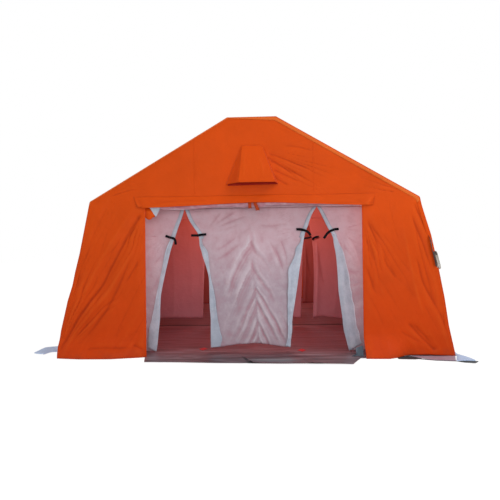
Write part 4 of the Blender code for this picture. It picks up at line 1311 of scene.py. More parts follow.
@dataclass
class RearDoor:
    """The closed rear door: a loose sheet over its doorway, sewn along its top and zipped at its sides."""

    shape: TentShape
    half: float = 1.50
    top: float = 2.10
    hem: float = 0.012
    # It stands this far clear of the wall's seam at its top, and so much more towards its foot.
    clear: float = 0.010
    foot_clear: float = 0.006
    zip_in: float = 0.05
    zip_width: float = 0.03

    def build(self) -> None:
        """Makes the door's sheet, slack between its edges, and its two zips."""
        x, z = np.meshgrid(np.linspace(self.half, -self.half, 150), np.linspace(self.hem, self.top, 105))
        edge = np.minimum(self.half - np.abs(x), self.top - z)
        loose = smooth(edge / 0.25)
        folds = (Fold(((-1.42, 1.98), (-1.15, 1.3), (-1.02, 0.5), (-1.0, 0.05)), 0.018, 0.12, 0.10, 0.2, 0.05),
                 Fold(((1.42, 1.98), (1.2, 1.2), (1.08, 0.4), (1.05, 0.04)), 0.018, 0.10, 0.12, 0.2, 0.05),
                 Fold(((-0.72, 1.7), (-0.62, 0.9), (-0.66, 0.1)), 0.016, 0.10, 0.08, 0.4, 0.05),
                 Fold(((-0.2, 1.5), (-0.14, 0.8), (-0.05, 0.1)), 0.018, 0.09, 0.08, 0.4, 0.05),
                 Fold(((0.40, 1.4), (0.36, 0.8), (0.44, 0.1)), 0.016, 0.08, 0.10, 0.4, 0.05),
                 Fan((-1.46, 2.06), -75.0, -15.0, 8.0, 1.0, -0.010, 97),
                 Fan((1.46, 2.06), 195.0, 255.0, 8.0, 1.0, -0.010, 98))
        lift = folds_lift(folds, x, z) * smooth(edge / 0.1) + 0.012 * crumple(x * 2.6, z * 0.8, 91) * loose
        lift += 0.003 * crumple(x * 7, z * 6, 93) + 0.008 * (1 + noise(x * 1.2, z, 95)) * loose
        y = self.shape.half_length + self.clear + lift + self.foot_clear * smooth((2.0 - z) / 0.6)
        zips, place = [], self.half - self.zip_in
        for word, zip_x, column in (("left", -place, -4), ("right", place, 3)):
            height = np.linspace(self.hem, self.top - 0.07, 60)
            on_door = np.interp(height, z[:, 0], y[:, column]) + 0.002
            path = np.stack((np.full(60, zip_x), on_door, height), -1)
            zips.append(ribbon(f"rear_door_zip_{word}", path, (0, 1, 0), self.zip_width, STRAP_WEBBING,
                               0.0012))
        edge = np.minimum(edge, z - self.hem)
        made = Cloth("rear_door_cloth", x, y, z, lift, SKIN, Slot.SKIN, edge=edge).make()
        for piece in zips:
            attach(piece, "rear_door")
        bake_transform(made)
        fit(made, None, ("rear_door",))


@dataclass
class VentHood:
    """A hood over a gable's vent: a sloping face with a gusset at each side, over a net whose dark red is partly
    painted shade.
    """

    shape: TentShape
    wall: EndWall
    word: str
    facing: float
    top: float = 2.83
    bottom: float = 2.31
    reach: float = 0.155
    # How far its top seam stands off the wall.
    clear: float = 0.012
    face_top: Point2 = (-0.135, 0.135)
    face_bottom: Point2 = (-0.185, 0.305)
    foot: Point2 = (-0.352, 0.345)

    def face(self) -> None:
        """The face: a trapezoid that leans out from its top seam, bowed, with a crease from each corner."""
        s, t = shares(34, 36, down=True)
        left = self.face_top[0] + (self.face_bottom[0] - self.face_top[0]) * t
        right = self.face_top[1] + (self.face_bottom[1] - self.face_top[1]) * t
        x = left + (right - left) * s
        z = self.top + (self.bottom - self.top) * t
        folds = (Fold(((-0.12, 2.80), (-0.10, 2.5), (-0.12, 2.33)), 0.005, 0.02, 0.03),
                 Fold(((0.08, 2.70), (0.14, 2.5), (0.15, 2.33)), 0.005, 0.02, 0.03))
        lift = folds_lift(folds, x, z) + 0.006 * np.sin(math.pi * s) * np.sin(math.pi * t)
        lift += 0.003 * crumple(x * 8, z * 7, 101)
        y = self.facing * (self.shape.half_length + self.clear + self.reach * t + lift)
        body = f"vent_hood_{self.word}"
        cloth = Cloth(body + "_face", x, y, z, lift, SKIN, Slot.SKIN, columns_back(self.facing > 0),
                      edge=(1 - t) * 0.54)
        fit(cloth.make(), body, (body,), 0.21)

    def gusset(self, side: int) -> None:
        """A three-cornered gusset from the wall to the face's edge, with one inward crease."""
        number = 0 if side < 0 else 1
        s, t = shares(14, 34, down=True)
        t = np.maximum(t, 0.01)
        wall_x = self.face_top[number] + (self.foot[number] - self.face_top[number]) * t
        face_x = self.face_top[number] + (self.face_bottom[number] - self.face_top[number]) * t
        x = wall_x + (face_x - wall_x) * s
        z = self.top + (self.bottom - self.top) * t
        inward = -0.014 * np.sin(math.pi * s) * t
        y = self.facing * (self.shape.half_length + self.clear + self.reach * t * s ** 0.9 + inward)
        name = f"vent_gusset_{self.word}_{SIDES[number]}"
        made = Cloth(name, x, y, z, inward, SKIN, Slot.SKIN, columns_back(side * self.facing < 0),
                     (s * 0.2, z)).make()
        fit(made, "tent", (), 0.05)
        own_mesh(made)

    def net(self) -> None:
        """The vent's net, which shows below the hood's edge."""
        s, t = shares(24, 24, down=True)
        left = -0.10 + (self.foot[0] + 0.12) * t
        right = 0.10 + (self.foot[1] - 0.10) * t
        x = left + (right - left) * s
        z = 2.78 + (2.292 + 0.012 * s - 2.78) * t
        lift = 0.003 + 0.001 * noise(x * 20, z * 20, 107)
        points = np.moveaxis(self.wall.place(x, z, lift), -1, 0)
        cloth = Cloth(f"vent_net_{self.word}", *points, 0.0, NET, Slot.SKIN, columns_back(self.facing > 0),
                      (x, z), thickness=0.0008)
        fit(cloth.make(), "tent", (), 0.205)

    def build(self) -> None:
        """Makes the face, its gussets and the net."""
        self.face()
        for side in (-1, 1):
            self.gusset(side)
        self.net()


@dataclass(frozen=True)
class DoorEdge:
    """One edge of a partition's doorway: its half width by height, and the strip turned back along it."""

    lane: float
    outward: int
    shape: tuple[Point2, ...]
    leaf: str = ""
    leaf_width: tuple[Point2, ...] = ()
    leaf_hem: float = 0.0
    leaf_slant: float = 0.0
    blend_from: float = 0.0

    def x(self, z: Array) -> Array:
        """The edge's X at a height."""
        return self.lane + self.outward * profile(self.shape)(z)


@dataclass
class Partition:
    """A partition: a head sheet under the roof and three curtains hung from it, with two doorways."""

    shape: TentShape
    number: int
    plane: float
    finish: Coated
    edges: dict[str, DoorEdge]
    folds: tuple[Crease, ...]
    side_hem: float = 0.165
    centre_hem: float = 0.165
    centre_arch: float = 0.0
    flute: float = 0.010
    head: float = 2.03
    inset: float = 0.118
    swing_zone: float = 0.10
    thickness: float = 0.001
    fold_line: Point2 = (0.20, 0.125)
    turn_radius: float = 0.005
    leaf_top: float = 1.635
    # The cloth's face lies this far behind the solids' middle plane.
    behind: float = 0.002
    # How far the right curtain's hem is drawn up, by its share of the width.
    right_rise: tuple[Point2, ...] = ((0.0, 0.0), (1.0, 0.0))

    def lift(self, x: Array, z: Array) -> Array:
        """How far the cloth stands forward: creases, upright flutes that grow downwards, and crumples."""
        seed = 120 + 10 * self.number
        down = smooth((self.head + 0.2 - z) / 2.0)
        flutes = self.flute * noise(x * 2.4 + 0.3 * z, z * 0.35, seed) * down
        slanting = 0.6 * self.flute * crumple(x * 4.0 + z, z * 1.4, seed + 3)
        fine = 0.0026 * crumple(x * 9.0, z * 7.0, seed + 6)
        total = folds_lift(self.folds, x, z) + flutes + slanting + fine
        return total * smooth((self.shape.half_width(z, self.inset) - np.abs(x)) / 0.15 + 0.3)

    def cloth(self, name: str, x: Array, z: Array, edge: Array | float, proud: Array | float = 0.0,
              finish: Finish | None = None, back: int | None = None) -> Made:
        """A sheet on the partition's surface at X and Z, a distance in front of it."""
        lift = self.lift(x, z) + proud
        y = self.plane + self.behind - lift
        return Cloth(name, x, y, z, lift, finish or self.finish, Slot.CURTAIN, back, edge=edge,
                     thickness=self.thickness).make()

    def build_head(self) -> None:
        """The head sheet, from wall to wall over the curtains."""
        z = np.linspace(self.head, self.shape.ridge - self.inset - 0.004, 60)[:, None]
        x = np.linspace(-1, 1, 190)[None, :] * self.shape.half_width(z, self.inset)
        z = np.broadcast_to(z, x.shape)
        made = self.cloth(f"partition_{self.number}_head_cloth", x, z, z - self.head)
        name = f"partition_{self.number}_head"
        width = 2 * float(self.shape.half_width(self.shape.eave, self.inset)) + 0.1
        fit(made, "tent", (name,), self.shape.gable_area(self.head) * 0.9)

    def curtain(self, word: str) -> None:
        """One curtain: a grid between its two edges and from its hem to the head."""
        hem = self.centre_hem if word == "centre" else self.side_hem
        s, t = shares(94, 104)
        arch = {"left": 0.0, "centre": self.centre_arch * np.sin(math.pi * s) ** 1.5,
                "right": straight(self.right_rise, s)}[word]
        low = hem + arch + 0.006 * noise(s * 9.0, s * 0, 160 + self.number)
        low += 0.003 * noise(s * 31.0, s * 0, 163 + self.number)
        z = low + (self.head - low) * t
        wall = self.shape.half_width(z, self.inset)
        edges = {name: edge.x(z) for name, edge in self.edges.items()}
        left = {"left": -wall, "centre": edges["left_inner"], "right": edges["right_outer"]}[word]
        right = {"left": edges["left_outer"], "centre": edges["right_inner"], "right": wall}[word]
        x = left + (right - left) * s
        body = f"partition_{self.number}_curtain_{word}"
        edge = np.minimum(z - low, np.minimum(x - left, right - x) + 0.02)
        made = self.cloth(body + "_cloth", x, z, edge)
        self.hang(made)
        widths = [float((right - left)[row, 0]) for row in (0, 52, 103)]
        flat = (max(widths) + 0.02, self.head - hem)
        area = min(float(np.mean(widths)), flat[0]) * flat[1]
        fit(made, None, (body,), area)

    def hang(self, made: Made) -> None:
        """Bakes a piece's placement into its mesh."""
        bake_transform(made)

    def leaf(self, word: str, edge: DoorEdge) -> None:
        """A turned-back strip: it rolls round the curtain's edge and lies on its front."""
        turn = np.linspace(-math.pi / 2, math.pi / 2, 6)
        t = np.linspace(0, 1, 92)[:, None]
        flat_part = np.concatenate((np.zeros(6), np.linspace(0, 1, 12)[1:]))[None, :]
        low = edge.leaf_hem + edge.leaf_slant * flat_part
        z = low + (self.leaf_top - low) * t
        seed = 170 + len(word)
        ragged = 0.03 * noise(z * 3.1, z * 0, seed) + 0.04 * noise(z * 11.0, z * 0, seed + 2)
        width = profile(edge.leaf_width)(z) * (1 + ragged)
        roll = np.concatenate((np.cos(turn), np.zeros(11)))[None, :]
        rise = np.concatenate((1 + np.sin(turn), np.full(11, 2.0)))[None, :]
        x = edge.x(z) + edge.outward * (width * flat_part - self.turn_radius * roll)
        wrinkle = 0.012 * crumple(x * 5, z * 5.5, seed + 5) * smooth(flat_part * 3)
        wrinkle += 0.010 * smooth((flat_part - 0.6) / 0.4) * (0.5 + noise(z * 4, z * 0, seed + 10))
        proud = self.turn_radius * rise + wrinkle
        # Columns run away from the doorway, so they go backwards where that is to the left.
        made = self.cloth(f"{edge.leaf}_cloth", x, z, width * (1 - flat_part), proud, LEAF_CLOTH,
                          columns_back(edge.outward < 0))
        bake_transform(made)
        flat = (max(value for _, value in edge.leaf_width) * 1.1 + 0.03, self.leaf_top - edge.leaf_hem)
        area = float(np.mean(width[:, -1]) + 0.02) * flat[1]
        fit(made, None, (edge.leaf,), area)

    def band(self, word: str, edge: DoorEdge) -> None:
        """The turned-back edge above the tie, drawn to a narrow band up to the apex."""
        s, t = shares(8, 30)
        z = 1.60 + 0.425 * t
        x = edge.x(z) + edge.outward * ((0.066 - 0.014 * t) * s - 0.004)
        proud = 0.004 + 0.007 * np.sin(math.pi * s) + 0.002 * noise(z * 8, s * 2, 190 + len(word))
        made = self.cloth(f"doorway_band_{word}", x, z, 0.1, proud, LEAF_CLOTH,
                          columns_back(edge.outward < 0))
        self.hang(made)
        fit(made, None, (), 0.026)

    def tie(self, number: int, word: str, points: Sequence[Point3]) -> None:
        """A black tie tape over a curtain's edge, by X, Z and the distance in front of the curtain."""
        x, z, proud = smooth_line(points, 12).T
        path = np.stack((x, self.plane - self.lift(x, z) - proud, z), -1)
        made = ribbon(f"partition_{self.number}_tie_{number}", path, (0.0, -1.0, 0.12), 0.034, TIE_WEBBING,
                      0.002)
        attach(made, f"partition_{self.number}_curtain_{word}")

    def build(self) -> None:
        """Makes the head, the curtains and what is turned back and tied."""
        self.build_head()
        for word in ("left", "centre", "right"):
            self.curtain(word)
        for word, edge in self.edges.items():
            if edge.leaf:
                self.leaf(word, edge)
                self.band(word, edge)


CENTRE_FOLDS = (
    Chevrons(((-0.03, 1.95), (-0.02, 1.30), (0.03, 0.80), (0.06, 0.20)),
             (0.02, 0.27, 0.48, 0.77, 0.95, 1.24, 1.57)),
    Fold(((0.045, 0.70), (0.065, 0.36), (0.07, 0.10)), 0.007, 0.020, 0.025, 0.3, 0.05),
    # From the ties that hold the doorways open
    Fold(((-0.65, 1.715), (-0.461, 1.847), (-0.20, 2.00)), -0.010, 0.055, 0.020, 0.5, 0.3),
    Fold(((-0.66, 1.690), (-0.344, 1.823), (-0.03, 1.93)), -0.010, 0.050, 0.020, 0.5, 0.3),
    Fold(((-0.67, 1.720), (-0.542, 1.86), (-0.42, 2.01)), -0.007, 0.045, 0.020, 0.5, 0.3),
    Fold(((-0.63, 1.68), (-0.36, 1.74), (-0.08, 1.83)), -0.006, 0.045, 0.018, 0.5, 0.4),
    Fold(((-0.60, 1.40), (-0.40, 1.50), (-0.15, 1.68)), -0.007, 0.050, 0.020, 0.4, 0.5),
    Fold(((-0.60, 1.25), (-0.38, 1.38), (-0.10, 1.58)), -0.008, 0.060, 0.025, 0.4, 0.4),
    Fan((0.72, 1.71), 120.0, 215.0, 9.0, 0.55, -0.009, 147),
    Fold(((0.28, 1.52), (0.37, 1.28), (0.43, 1.05)), -0.008, 0.020, 0.010),
    Fold(((0.36, 1.62), (0.44, 1.38), (0.47, 1.15)), -0.008, 0.020, 0.010),
    Fold(((0.20, 1.60), (0.33, 1.33), (0.40, 1.10)), -0.007, 0.020, 0.010),
    Fold(((0.05, 1.78), (0.25, 1.76), (0.50, 1.80)), -0.006, 0.030, 0.012),
    # Side curtains, by their ties
    Fan((-1.24, 1.63), 150.0, 290.0, 14.0, 0.42, -0.008, 149),
    Fan((1.18, 1.70), -95.0, 20.0, 12.0, 0.48, -0.010, 150),
    Fold(((1.22, 1.64), (1.38, 1.52), (1.46, 1.30), (1.50, 1.10)), -0.006, 0.040, 0.018, 0.3, 0.5),
    Fold(((1.24, 1.50), (1.36, 1.34), (1.46, 1.14)), -0.006, 0.040, 0.018, 0.3, 0.5),
    Fold(((1.27, 1.20), (1.37, 1.10), (1.52, 1.13)), -0.006, 0.030, 0.020, 0.5, 0.4),
    Fold(((1.29, 0.98), (1.39, 0.92), (1.52, 0.98)), -0.006, 0.035, 0.020, 0.5, 0.4),
    Fold(((-1.50, 1.20), (-1.38, 1.28), (-1.27, 1.42)), -0.006, 0.035, 0.020, 0.5, 0.5),
    Fold(((-1.50, 0.80), (-1.40, 0.95), (-1.33, 1.15)), -0.006, 0.040, 0.020, 0.5, 0.5),
)

MIDDLE_FOLDS = (
    Fold(((-1.62, 1.95), (-1.58, 0.9), (-1.6, 0.17)), 0.012, 0.14, 0.12, 0.05, 0.02),
    Fold(((-1.30, 1.50), (-1.24, 0.90), (-1.28, 0.40)), 0.007, 0.12, 0.10, 0.4, 0.4),
    Fold(((-1.06, 1.95), (-1.03, 1.0), (-1.03, 0.17)), 0.008, 0.05, 0.04, 0.1, 0.02),
    Fold(((1.16, 1.60), (1.20, 1.1), (1.30, 0.60)), -0.009, 0.06, 0.03, 0.4, 0.4),
    Fold(((1.12, 1.70), (1.14, 1.0), (1.10, 0.17)), 0.014, 0.03, 0.04, 0.2, 0.02),
    Fold(((1.50, 1.60), (1.50, 0.8), (1.42, 0.17)), 0.010, 0.10, 0.10, 0.3, 0.1),
)


# How far the second partition's right curtain is drawn up, by its share of the width.
MIDDLE_RIGHT_RISE = ((0.0, -0.016), (0.03, -0.008), (0.09, 0.034), (0.13, 0.032), (0.39, -0.03), (1.0, 0.0))

# Tapes that tie back the edges, each with its curtain: X, Z and the distance in front of the curtain.
FIRST_TIES = (
    ("left", ((-1.245, 1.645, 0.016), (-1.19, 1.625, 0.024), (-1.125, 1.605, 0.022), (-1.105, 1.57, 0.02),
              (-1.10, 1.52, 0.016))),
    ("centre", ((-0.665, 1.660, 0.014), (-0.72, 1.655, 0.022), (-0.80, 1.645, 0.024), (-0.88, 1.648, 0.016))),
    ("centre", ((0.60, 1.715, 0.012), (0.68, 1.705, 0.022), (0.75, 1.680, 0.024), (0.80, 1.625, 0.02))),
    ("right", ((1.19, 1.710, 0.012), (1.12, 1.70, 0.022), (1.04, 1.66, 0.024), (0.98, 1.58, 0.02))),
)
SECOND_TIES = (
    ("centre", ((0.84, 1.60, 0.01), (0.90, 1.655, 0.014), (0.97, 1.665, 0.014), (1.03, 1.685, 0.012))),
    ("right", ((1.05, 1.63, 0.01), (1.09, 1.67, 0.014), (1.17, 1.69, 0.012))),
)

APEX = (2.03, 0.003)
# The first partition's doorway edges, tied open and turned back. Each has its direction away from
# the doorway, its half widths by height, its leaf's widths by height, and the leaf's hem, slant
# and the distance from its fold line at which it starts to turn.
FRONT_EDGES = {
    "left_outer": (-1, (
        APEX, (1.897, 0.044), (1.757, 0.098), (1.624, 0.144), (1.531, 0.180), (1.40, 0.220), (1.122, 0.288),
        (0.844, 0.348), (0.658, 0.365), (0.473, 0.371), (0.287, 0.391), (0.10, 0.412), (0.0, 0.430)), (
        (1.62, 0.045), (1.40, 0.062), (1.10, 0.055), (0.83, 0.058), (0.65, 0.080), (0.46, 0.120), (0.28, 0.140),
        (0.0, 0.130)), 0.014, 0.052, 0.02),
    "left_inner": (1, (
        APEX, (1.854, 0.070), (1.737, 0.145), (1.666, 0.190), (1.581, 0.208), (1.506, 0.212), (1.414, 0.238),
        (1.339, 0.257), (1.172, 0.310), (1.041, 0.337), (0.838, 0.343), (0.652, 0.345), (0.468, 0.357),
        (0.283, 0.355), (0.07, 0.356)), (
        (1.62, 0.030), (1.53, 0.037), (1.44, 0.075), (1.36, 0.078), (1.17, 0.037), (1.04, 0.028), (0.835, 0.065),
        (0.65, 0.089), (0.46, 0.102), (0.28, 0.139), (0.19, 0.163), (0.07, 0.130)), 0.066, 0.012, 0.034),
    "right_inner": (-1, (
        APEX, (1.976, 0.040), (1.878, 0.090), (1.745, 0.136), (1.647, 0.176), (1.514, 0.202), (1.398, 0.220),
        (1.25, 0.239), (1.151, 0.257), (1.018, 0.275), (0.854, 0.301), (0.688, 0.328), (0.456, 0.365),
        (0.308, 0.369), (0.193, 0.385), (0.06, 0.395)), (
        (1.62, 0.030), (1.53, 0.040), (1.45, 0.083), (1.35, 0.092), (1.24, 0.133), (1.16, 0.153), (1.03, 0.137),
        (0.86, 0.120), (0.695, 0.097), (0.46, 0.063), (0.31, 0.053), (0.197, 0.047), (0.06, 0.070)),
        0.066, 0.02, -0.005),
    "right_outer": (1, (
        APEX, (1.975, 0.034), (1.875, 0.083), (1.741, 0.146), (1.641, 0.203), (1.575, 0.227), (1.508, 0.233),
        (1.377, 0.257), (1.244, 0.271), (1.013, 0.285), (0.848, 0.291), (0.683, 0.313), (0.452, 0.342),
        (0.353, 0.349), (0.237, 0.372), (0.107, 0.403), (0.0, 0.430)), (
        (1.62, 0.040), (1.51, 0.067), (1.377, 0.108), (1.244, 0.125), (1.013, 0.155), (0.85, 0.168),
        (0.683, 0.176), (0.45, 0.178), (0.237, 0.190), (0.0, 0.190)), 0.014, 0.10, 0.01),
}


def front_edges(left: float, right: float) -> dict[str, DoorEdge]:
    """The first partition's four doorway edges, about its two lanes."""
    made = {}
    for word, (outward, halves, widths, hem, slant, blend_from) in FRONT_EDGES.items():
        lane = left if word.startswith("left") else right
        made[word] = DoorEdge(lane, outward, halves, f"leaf_{word}", widths, hem, slant, blend_from)
    return made


def inner_edges(lane: float) -> dict[str, DoorEdge]:
    """The doorway edges of a partition whose curtains hang almost shut."""
    made = {}
    for word, place, outward, half in (("left_outer", -lane, -1, 0.048), ("left_inner", -lane, 1, 0.048),
                                       ("right_inner", lane, -1, 0.048), ("right_outer", lane, 1, 0.118)):
        middle = 0.138 if half > 0.1 else 0.075
        made[word] = DoorEdge(place, outward, ((2.03, 0.03), (1.6, half), (1.0, middle), (0.165, 0.112)))
    return made


@dataclass
class Ground:
    """The groundsheet with its turned-up sides, the aprons at both doors, the marks and the skirts."""

    shape: TentShape
    up: float = 0.12
    inside: float = 0.009
    top: float = 0.0045
    half_length: float = 3.742
    # Cloth on the ground stands this far off it.
    low: float = 0.002
    apron_half: float = 1.43
    # Two creases of the front apron that stand up.
    apron_folds: tuple[Fold, ...] = (
        Fold(((-0.16, 3.80), (-0.10, 3.92), (-0.02, 4.12)), 0.022, 0.03, 0.012, 0.3, 0.05),
        Fold(((0.62, 3.85), (0.74, 4.15)), 0.010, 0.03, 0.02, 0.3, 0.05))
    marks: tuple[Point2, ...] = ((-0.75, -3.28), (0.66, -3.39))
    mark_half: Point2 = (0.064, 0.095)
    floor_seed: int = 201
    # The groundsheet's thickness, and how much of its ripples is left where people walk.
    sheet: float = 0.003
    settled: float = 0.6

    def ripple(self, x: Array, y: Array, seed: int) -> Array:
        """Low ripples in laid sheet: creased noise, from nothing up."""
        return 0.006 * crumple(x * 1.3, y * 2.1, seed) + 0.002 * crumple(x * 5, y * 6, seed + 3)

    def floor(self) -> None:
        """The tray: up one side, across and up the other."""
        edge = float(self.shape.half_width(0.0, self.inside)) - 0.004
        rise, level = np.linspace(1, 0, 7), np.linspace(-edge, edge, 120)[1:-1]
        across = np.concatenate((np.full(rise.size, -edge), level, np.full(rise.size, edge)))
        height = np.concatenate((self.up * rise, np.zeros(level.size), self.up * rise[::-1]))
        x, y = np.meshgrid(across, np.linspace(-self.half_length, self.half_length, 180))
        lean = (self.shape.base_half - self.shape.eave_half) / self.shape.eave
        lift = self.ripple(x, y, self.floor_seed) * smooth((edge - np.abs(x)) / 0.1)
        leaning = x - np.sign(x) * lean * height
        cloth = Cloth("groundsheet_floor", leaning, y, self.top + height + self.settled * lift, lift, GROUND,
                      Slot.GROUND, flat=(x, y), thickness=self.sheet)
        fit(cloth.make(), "tent", ("groundsheet",))

    def apron(self, facing: float, name: str, left: Point2, right: float, free: Callable[[Array], Array],
              area: float | None = None) -> None:
        """An apron at a door, whose free edge lifts a little.

        Args:
            facing: -1 at the front, 1 at the rear.
            name: the piece's name.
            left: X of its left side at the door and at its free edge.
            right: X of its right side.
            free: gives its free edge's distance along Y from the share of its width.
            area: its area, where that is less than its width times its length.
        """
        s, t = shares(170, 26)
        x = left[0] + (left[1] - left[0]) * t
        x = x + (right - x) * s
        start, wall = self.shape.half_length - 0.055, self.shape.half_length
        y = start + (free(s) - start) * t
        lift = self.ripple(x, y, 211)
        lift += 0.008 * smooth((t - 0.75) / 0.25) * (0.5 + 0.5 * noise(s * 7, t * 0, 213))
        if facing < 0:
            lift = lift + folds_lift(self.apron_folds, x, y)
        lift = lift * smooth((y - wall + 0.05) / 0.12)
        cloth = Cloth(name, x, facing * y, self.top + 0.0035 + lift, lift, GROUND, Slot.GROUND,
                      0 if facing < 0 else None, (x, facing * y), thickness=self.sheet)
        fit(cloth.make(), "tent", (), area)

    def corner(self) -> None:
        """The apron's corner that stands up against the right-hand door post: a leaning, curled triangle."""
        s, t = shares(16, 18)
        left = 1.285 + 0.062 * smooth(t * 3)
        x = left + (1.436 - left) * s
        y = -3.79 + 0.05 * t + 0.03 * np.sin(math.pi * s) * (1 - 0.4 * t) - 0.02 * s
        cloth = Cloth("apron_corner", x, y, 0.010 + (0.098 + 0.040 * s) * t, 0.0, CORNER, Slot.GROUND,
                      thickness=0.002)
        fit(cloth.make(), "tent", (), 0.0135)

    def mark(self, number: int, place: Point2) -> None:
        """A red diamond patch on the floor in a doorway, which shows where to step."""
        a, r = np.meshgrid(np.linspace(0, math.tau, 33), np.linspace(0.02, 1, 6))
        size = r / (np.abs(np.cos(a)) + np.abs(np.sin(a)))
        x = place[0] + self.mark_half[0] * size * np.cos(a)
        y = place[1] + self.mark_half[1] * size * np.sin(a)
        z = self.top + 0.0022 + self.settled * self.ripple(x, y, self.floor_seed)
        cloth = Cloth(f"floor_mark_{number}", x, y, z, 0.0, MARK_CLOTH, Slot.GROUND, flat=(x, y),
                      thickness=0.0008)
        flat = (2 * self.mark_half[0], 2 * self.mark_half[1])
        fit(cloth.make(), "tent", (), flat[0] * flat[1] / 2)

    def skirt(self, word: str, side: int, free: Sequence[Point2], near: Sequence[Point2],
              rows: Sequence[float], seed: int) -> None:
        """A skirt on the ground along a side wall, with low folds.

        Args:
            word: left or right.
            side: 1 on the right, -1 on the left.
            free: (Y, distance out) points of its free edge.
            near: (Y, distance out) points of its joined edge.
            rows: Y values at which its grid changes density.
            seed: of its folds.
        """
        y = np.concatenate([np.linspace(a, b, max(4, int(abs(b - a) / 0.03)), endpoint=False)
                            for a, b in zip(rows, rows[1:])] + [[rows[-1]]])[:, None]
        s = np.linspace(0, 1, 26)[None, :]
        start = straight(near, y)
        width = np.maximum(straight(free, y) + 0.008 * noise(y * 3.7, y * 0, seed) - start, 0.01)
        x = start + width * s
        lift = 0.016 * crumple(x * 3.1, y * 1.5, seed + 1) * smooth(s * 4)
        lift += 0.004 * crumple(x * 11, y * 8, seed + 2)
        lift = lift * (0.35 + 0.65 * smooth((1.3 - s) / 0.6))
        cloth = Cloth(f"skirt_{word}_cloth", side * x, y, self.low + lift, lift, SKIRT_CLOTH, Slot.SKIRT,
                      columns_back(side < 0), (x, y))
        area = float(np.trapz(width[:, 0], y[:, 0]))
        fit(cloth.make(), "tent", (f"skirt_{word}",), area)

    def build(self) -> None:
        """Makes the floor, the aprons, the marks, the skirts and the groundsheet's edges, painted dark as
        shadow.
        """
        self.floor()
        half = self.apron_half
        cut = ((0.0, 4.06), (0.911, 4.205), (0.965, 3.886), (1.0, 3.886))
        self.apron(-1, "apron_front", (-half - 0.06, -half + 0.03), half + 0.05, lambda s: straight(cut, s),
                   1.20)
        self.apron(1, "apron_rear", (-half, -half), half, lambda s: 4.125 + 0.004 * np.sin(s * 9))
        self.corner()
        for number, place in enumerate(self.marks, 1):
            self.mark(number, place)
        self.skirt("left", -1, ((-3.58, 2.99), (-3.56, 3.06), (-3.50, 3.14), (-3.25, 3.155), (-3.12, 3.155),
                                (-3.06, 3.03), (-2.95, 2.85), (-2.70, 2.85), (-2.40, 3.14), (3.75, 3.14)),
                   ((-3.58, 2.955), (-3.43, 2.925), (-3.38, 2.655), (3.75, 2.655)), (-3.58, -3.0, -2.3, 3.75),
                   221)
        self.skirt("right", 1, ((-4.035, 2.78), (-3.95, 2.797), (-3.80, 2.757), (-3.64, 2.715), (-3.30, 2.79),
                                (-3.05, 2.875), (-2.50, 3.05), (-2.1, 3.14), (3.75, 3.14)),
                   ((-4.03, 2.536), (-3.76, 2.655), (3.75, 2.655)), (-4.03, -2.3, 3.75), 231)
        self.front_skirt()
        self.under_edge(1, (1.86, 1.95, 2.06, 2.16), (3.74, 3.74, 3.74, 3.80), (3.905, 3.918, 3.93, 3.885))
        self.under_edge(2, (2.535, 2.60, 2.72, 2.80), (3.99, 3.99, 4.00, 4.02), (4.035, 4.095, 4.135, 4.05))
        self.under_edge(4, (-2.72, -2.66, -2.50, -2.36), (3.60, 3.70, 3.77, 3.80), (3.66, 3.80, 3.84, 3.845))
        self.under_edge(3, (2.12, 2.30, 2.45, 2.56), (3.87, 3.96, 3.99, 3.99), (3.915, 3.99, 4.022, 4.035))

    def front_skirt(self) -> None:
        """The right-hand skirt's end, which lies in front of the front wall: its free edge slants forward."""
        s, t = shares(40, 16)
        x = 2.06 + (0.60 - 0.12 * t) * s
        free = straight(((2.06, 3.765), (2.10, 3.80), (2.152, 3.886), (2.261, 3.957), (2.39, 4.00),
                         (2.66, 4.01)), x)
        y = -(3.70 + (free - 3.70) * t)
        lift = 0.010 * crumple(x * 4, y * 5, 241) * smooth(t * 3) + 0.003 * crumple(x * 11, y * 9, 243)
        # Its pink finish is painted shade with orange light from the wall.
        cloth = Cloth("skirt_front_cloth", x, y, self.low + lift, lift, SHADED_PINK_SKIRT, Slot.SKIRT, 0, (x, y))
        fit(cloth.make(), "tent", (), 0.15)

    def under_edge(self, number: int, xs: Sequence[float], near: Sequence[float],
                   far: Sequence[float]) -> None:
        """An edge of groundsheet that shows from under the wall or the skirt, between two lines in Y, painted
        dark as the shadow there.
        """
        s, t = shares(24, 8)
        length = xs[-1] - xs[0]
        x = xs[0] + length * s
        start, width = np.interp(x, xs, near), np.interp(x, xs, far) - np.interp(x, xs, near)
        y = -(start + width * t)
        lift = 0.003 * crumple(x * 7, y * 8, 251 + number)
        cloth = Cloth(f"groundsheet_edge_{number}", x, y, 0.0015 + lift, lift, SHADOWED_GROUND_EDGE, Slot.GROUND, 0,
                      (x, y), thickness=0.001)
        fit(cloth.make(), "tent", (),
            float(np.mean(width[0])) * length)


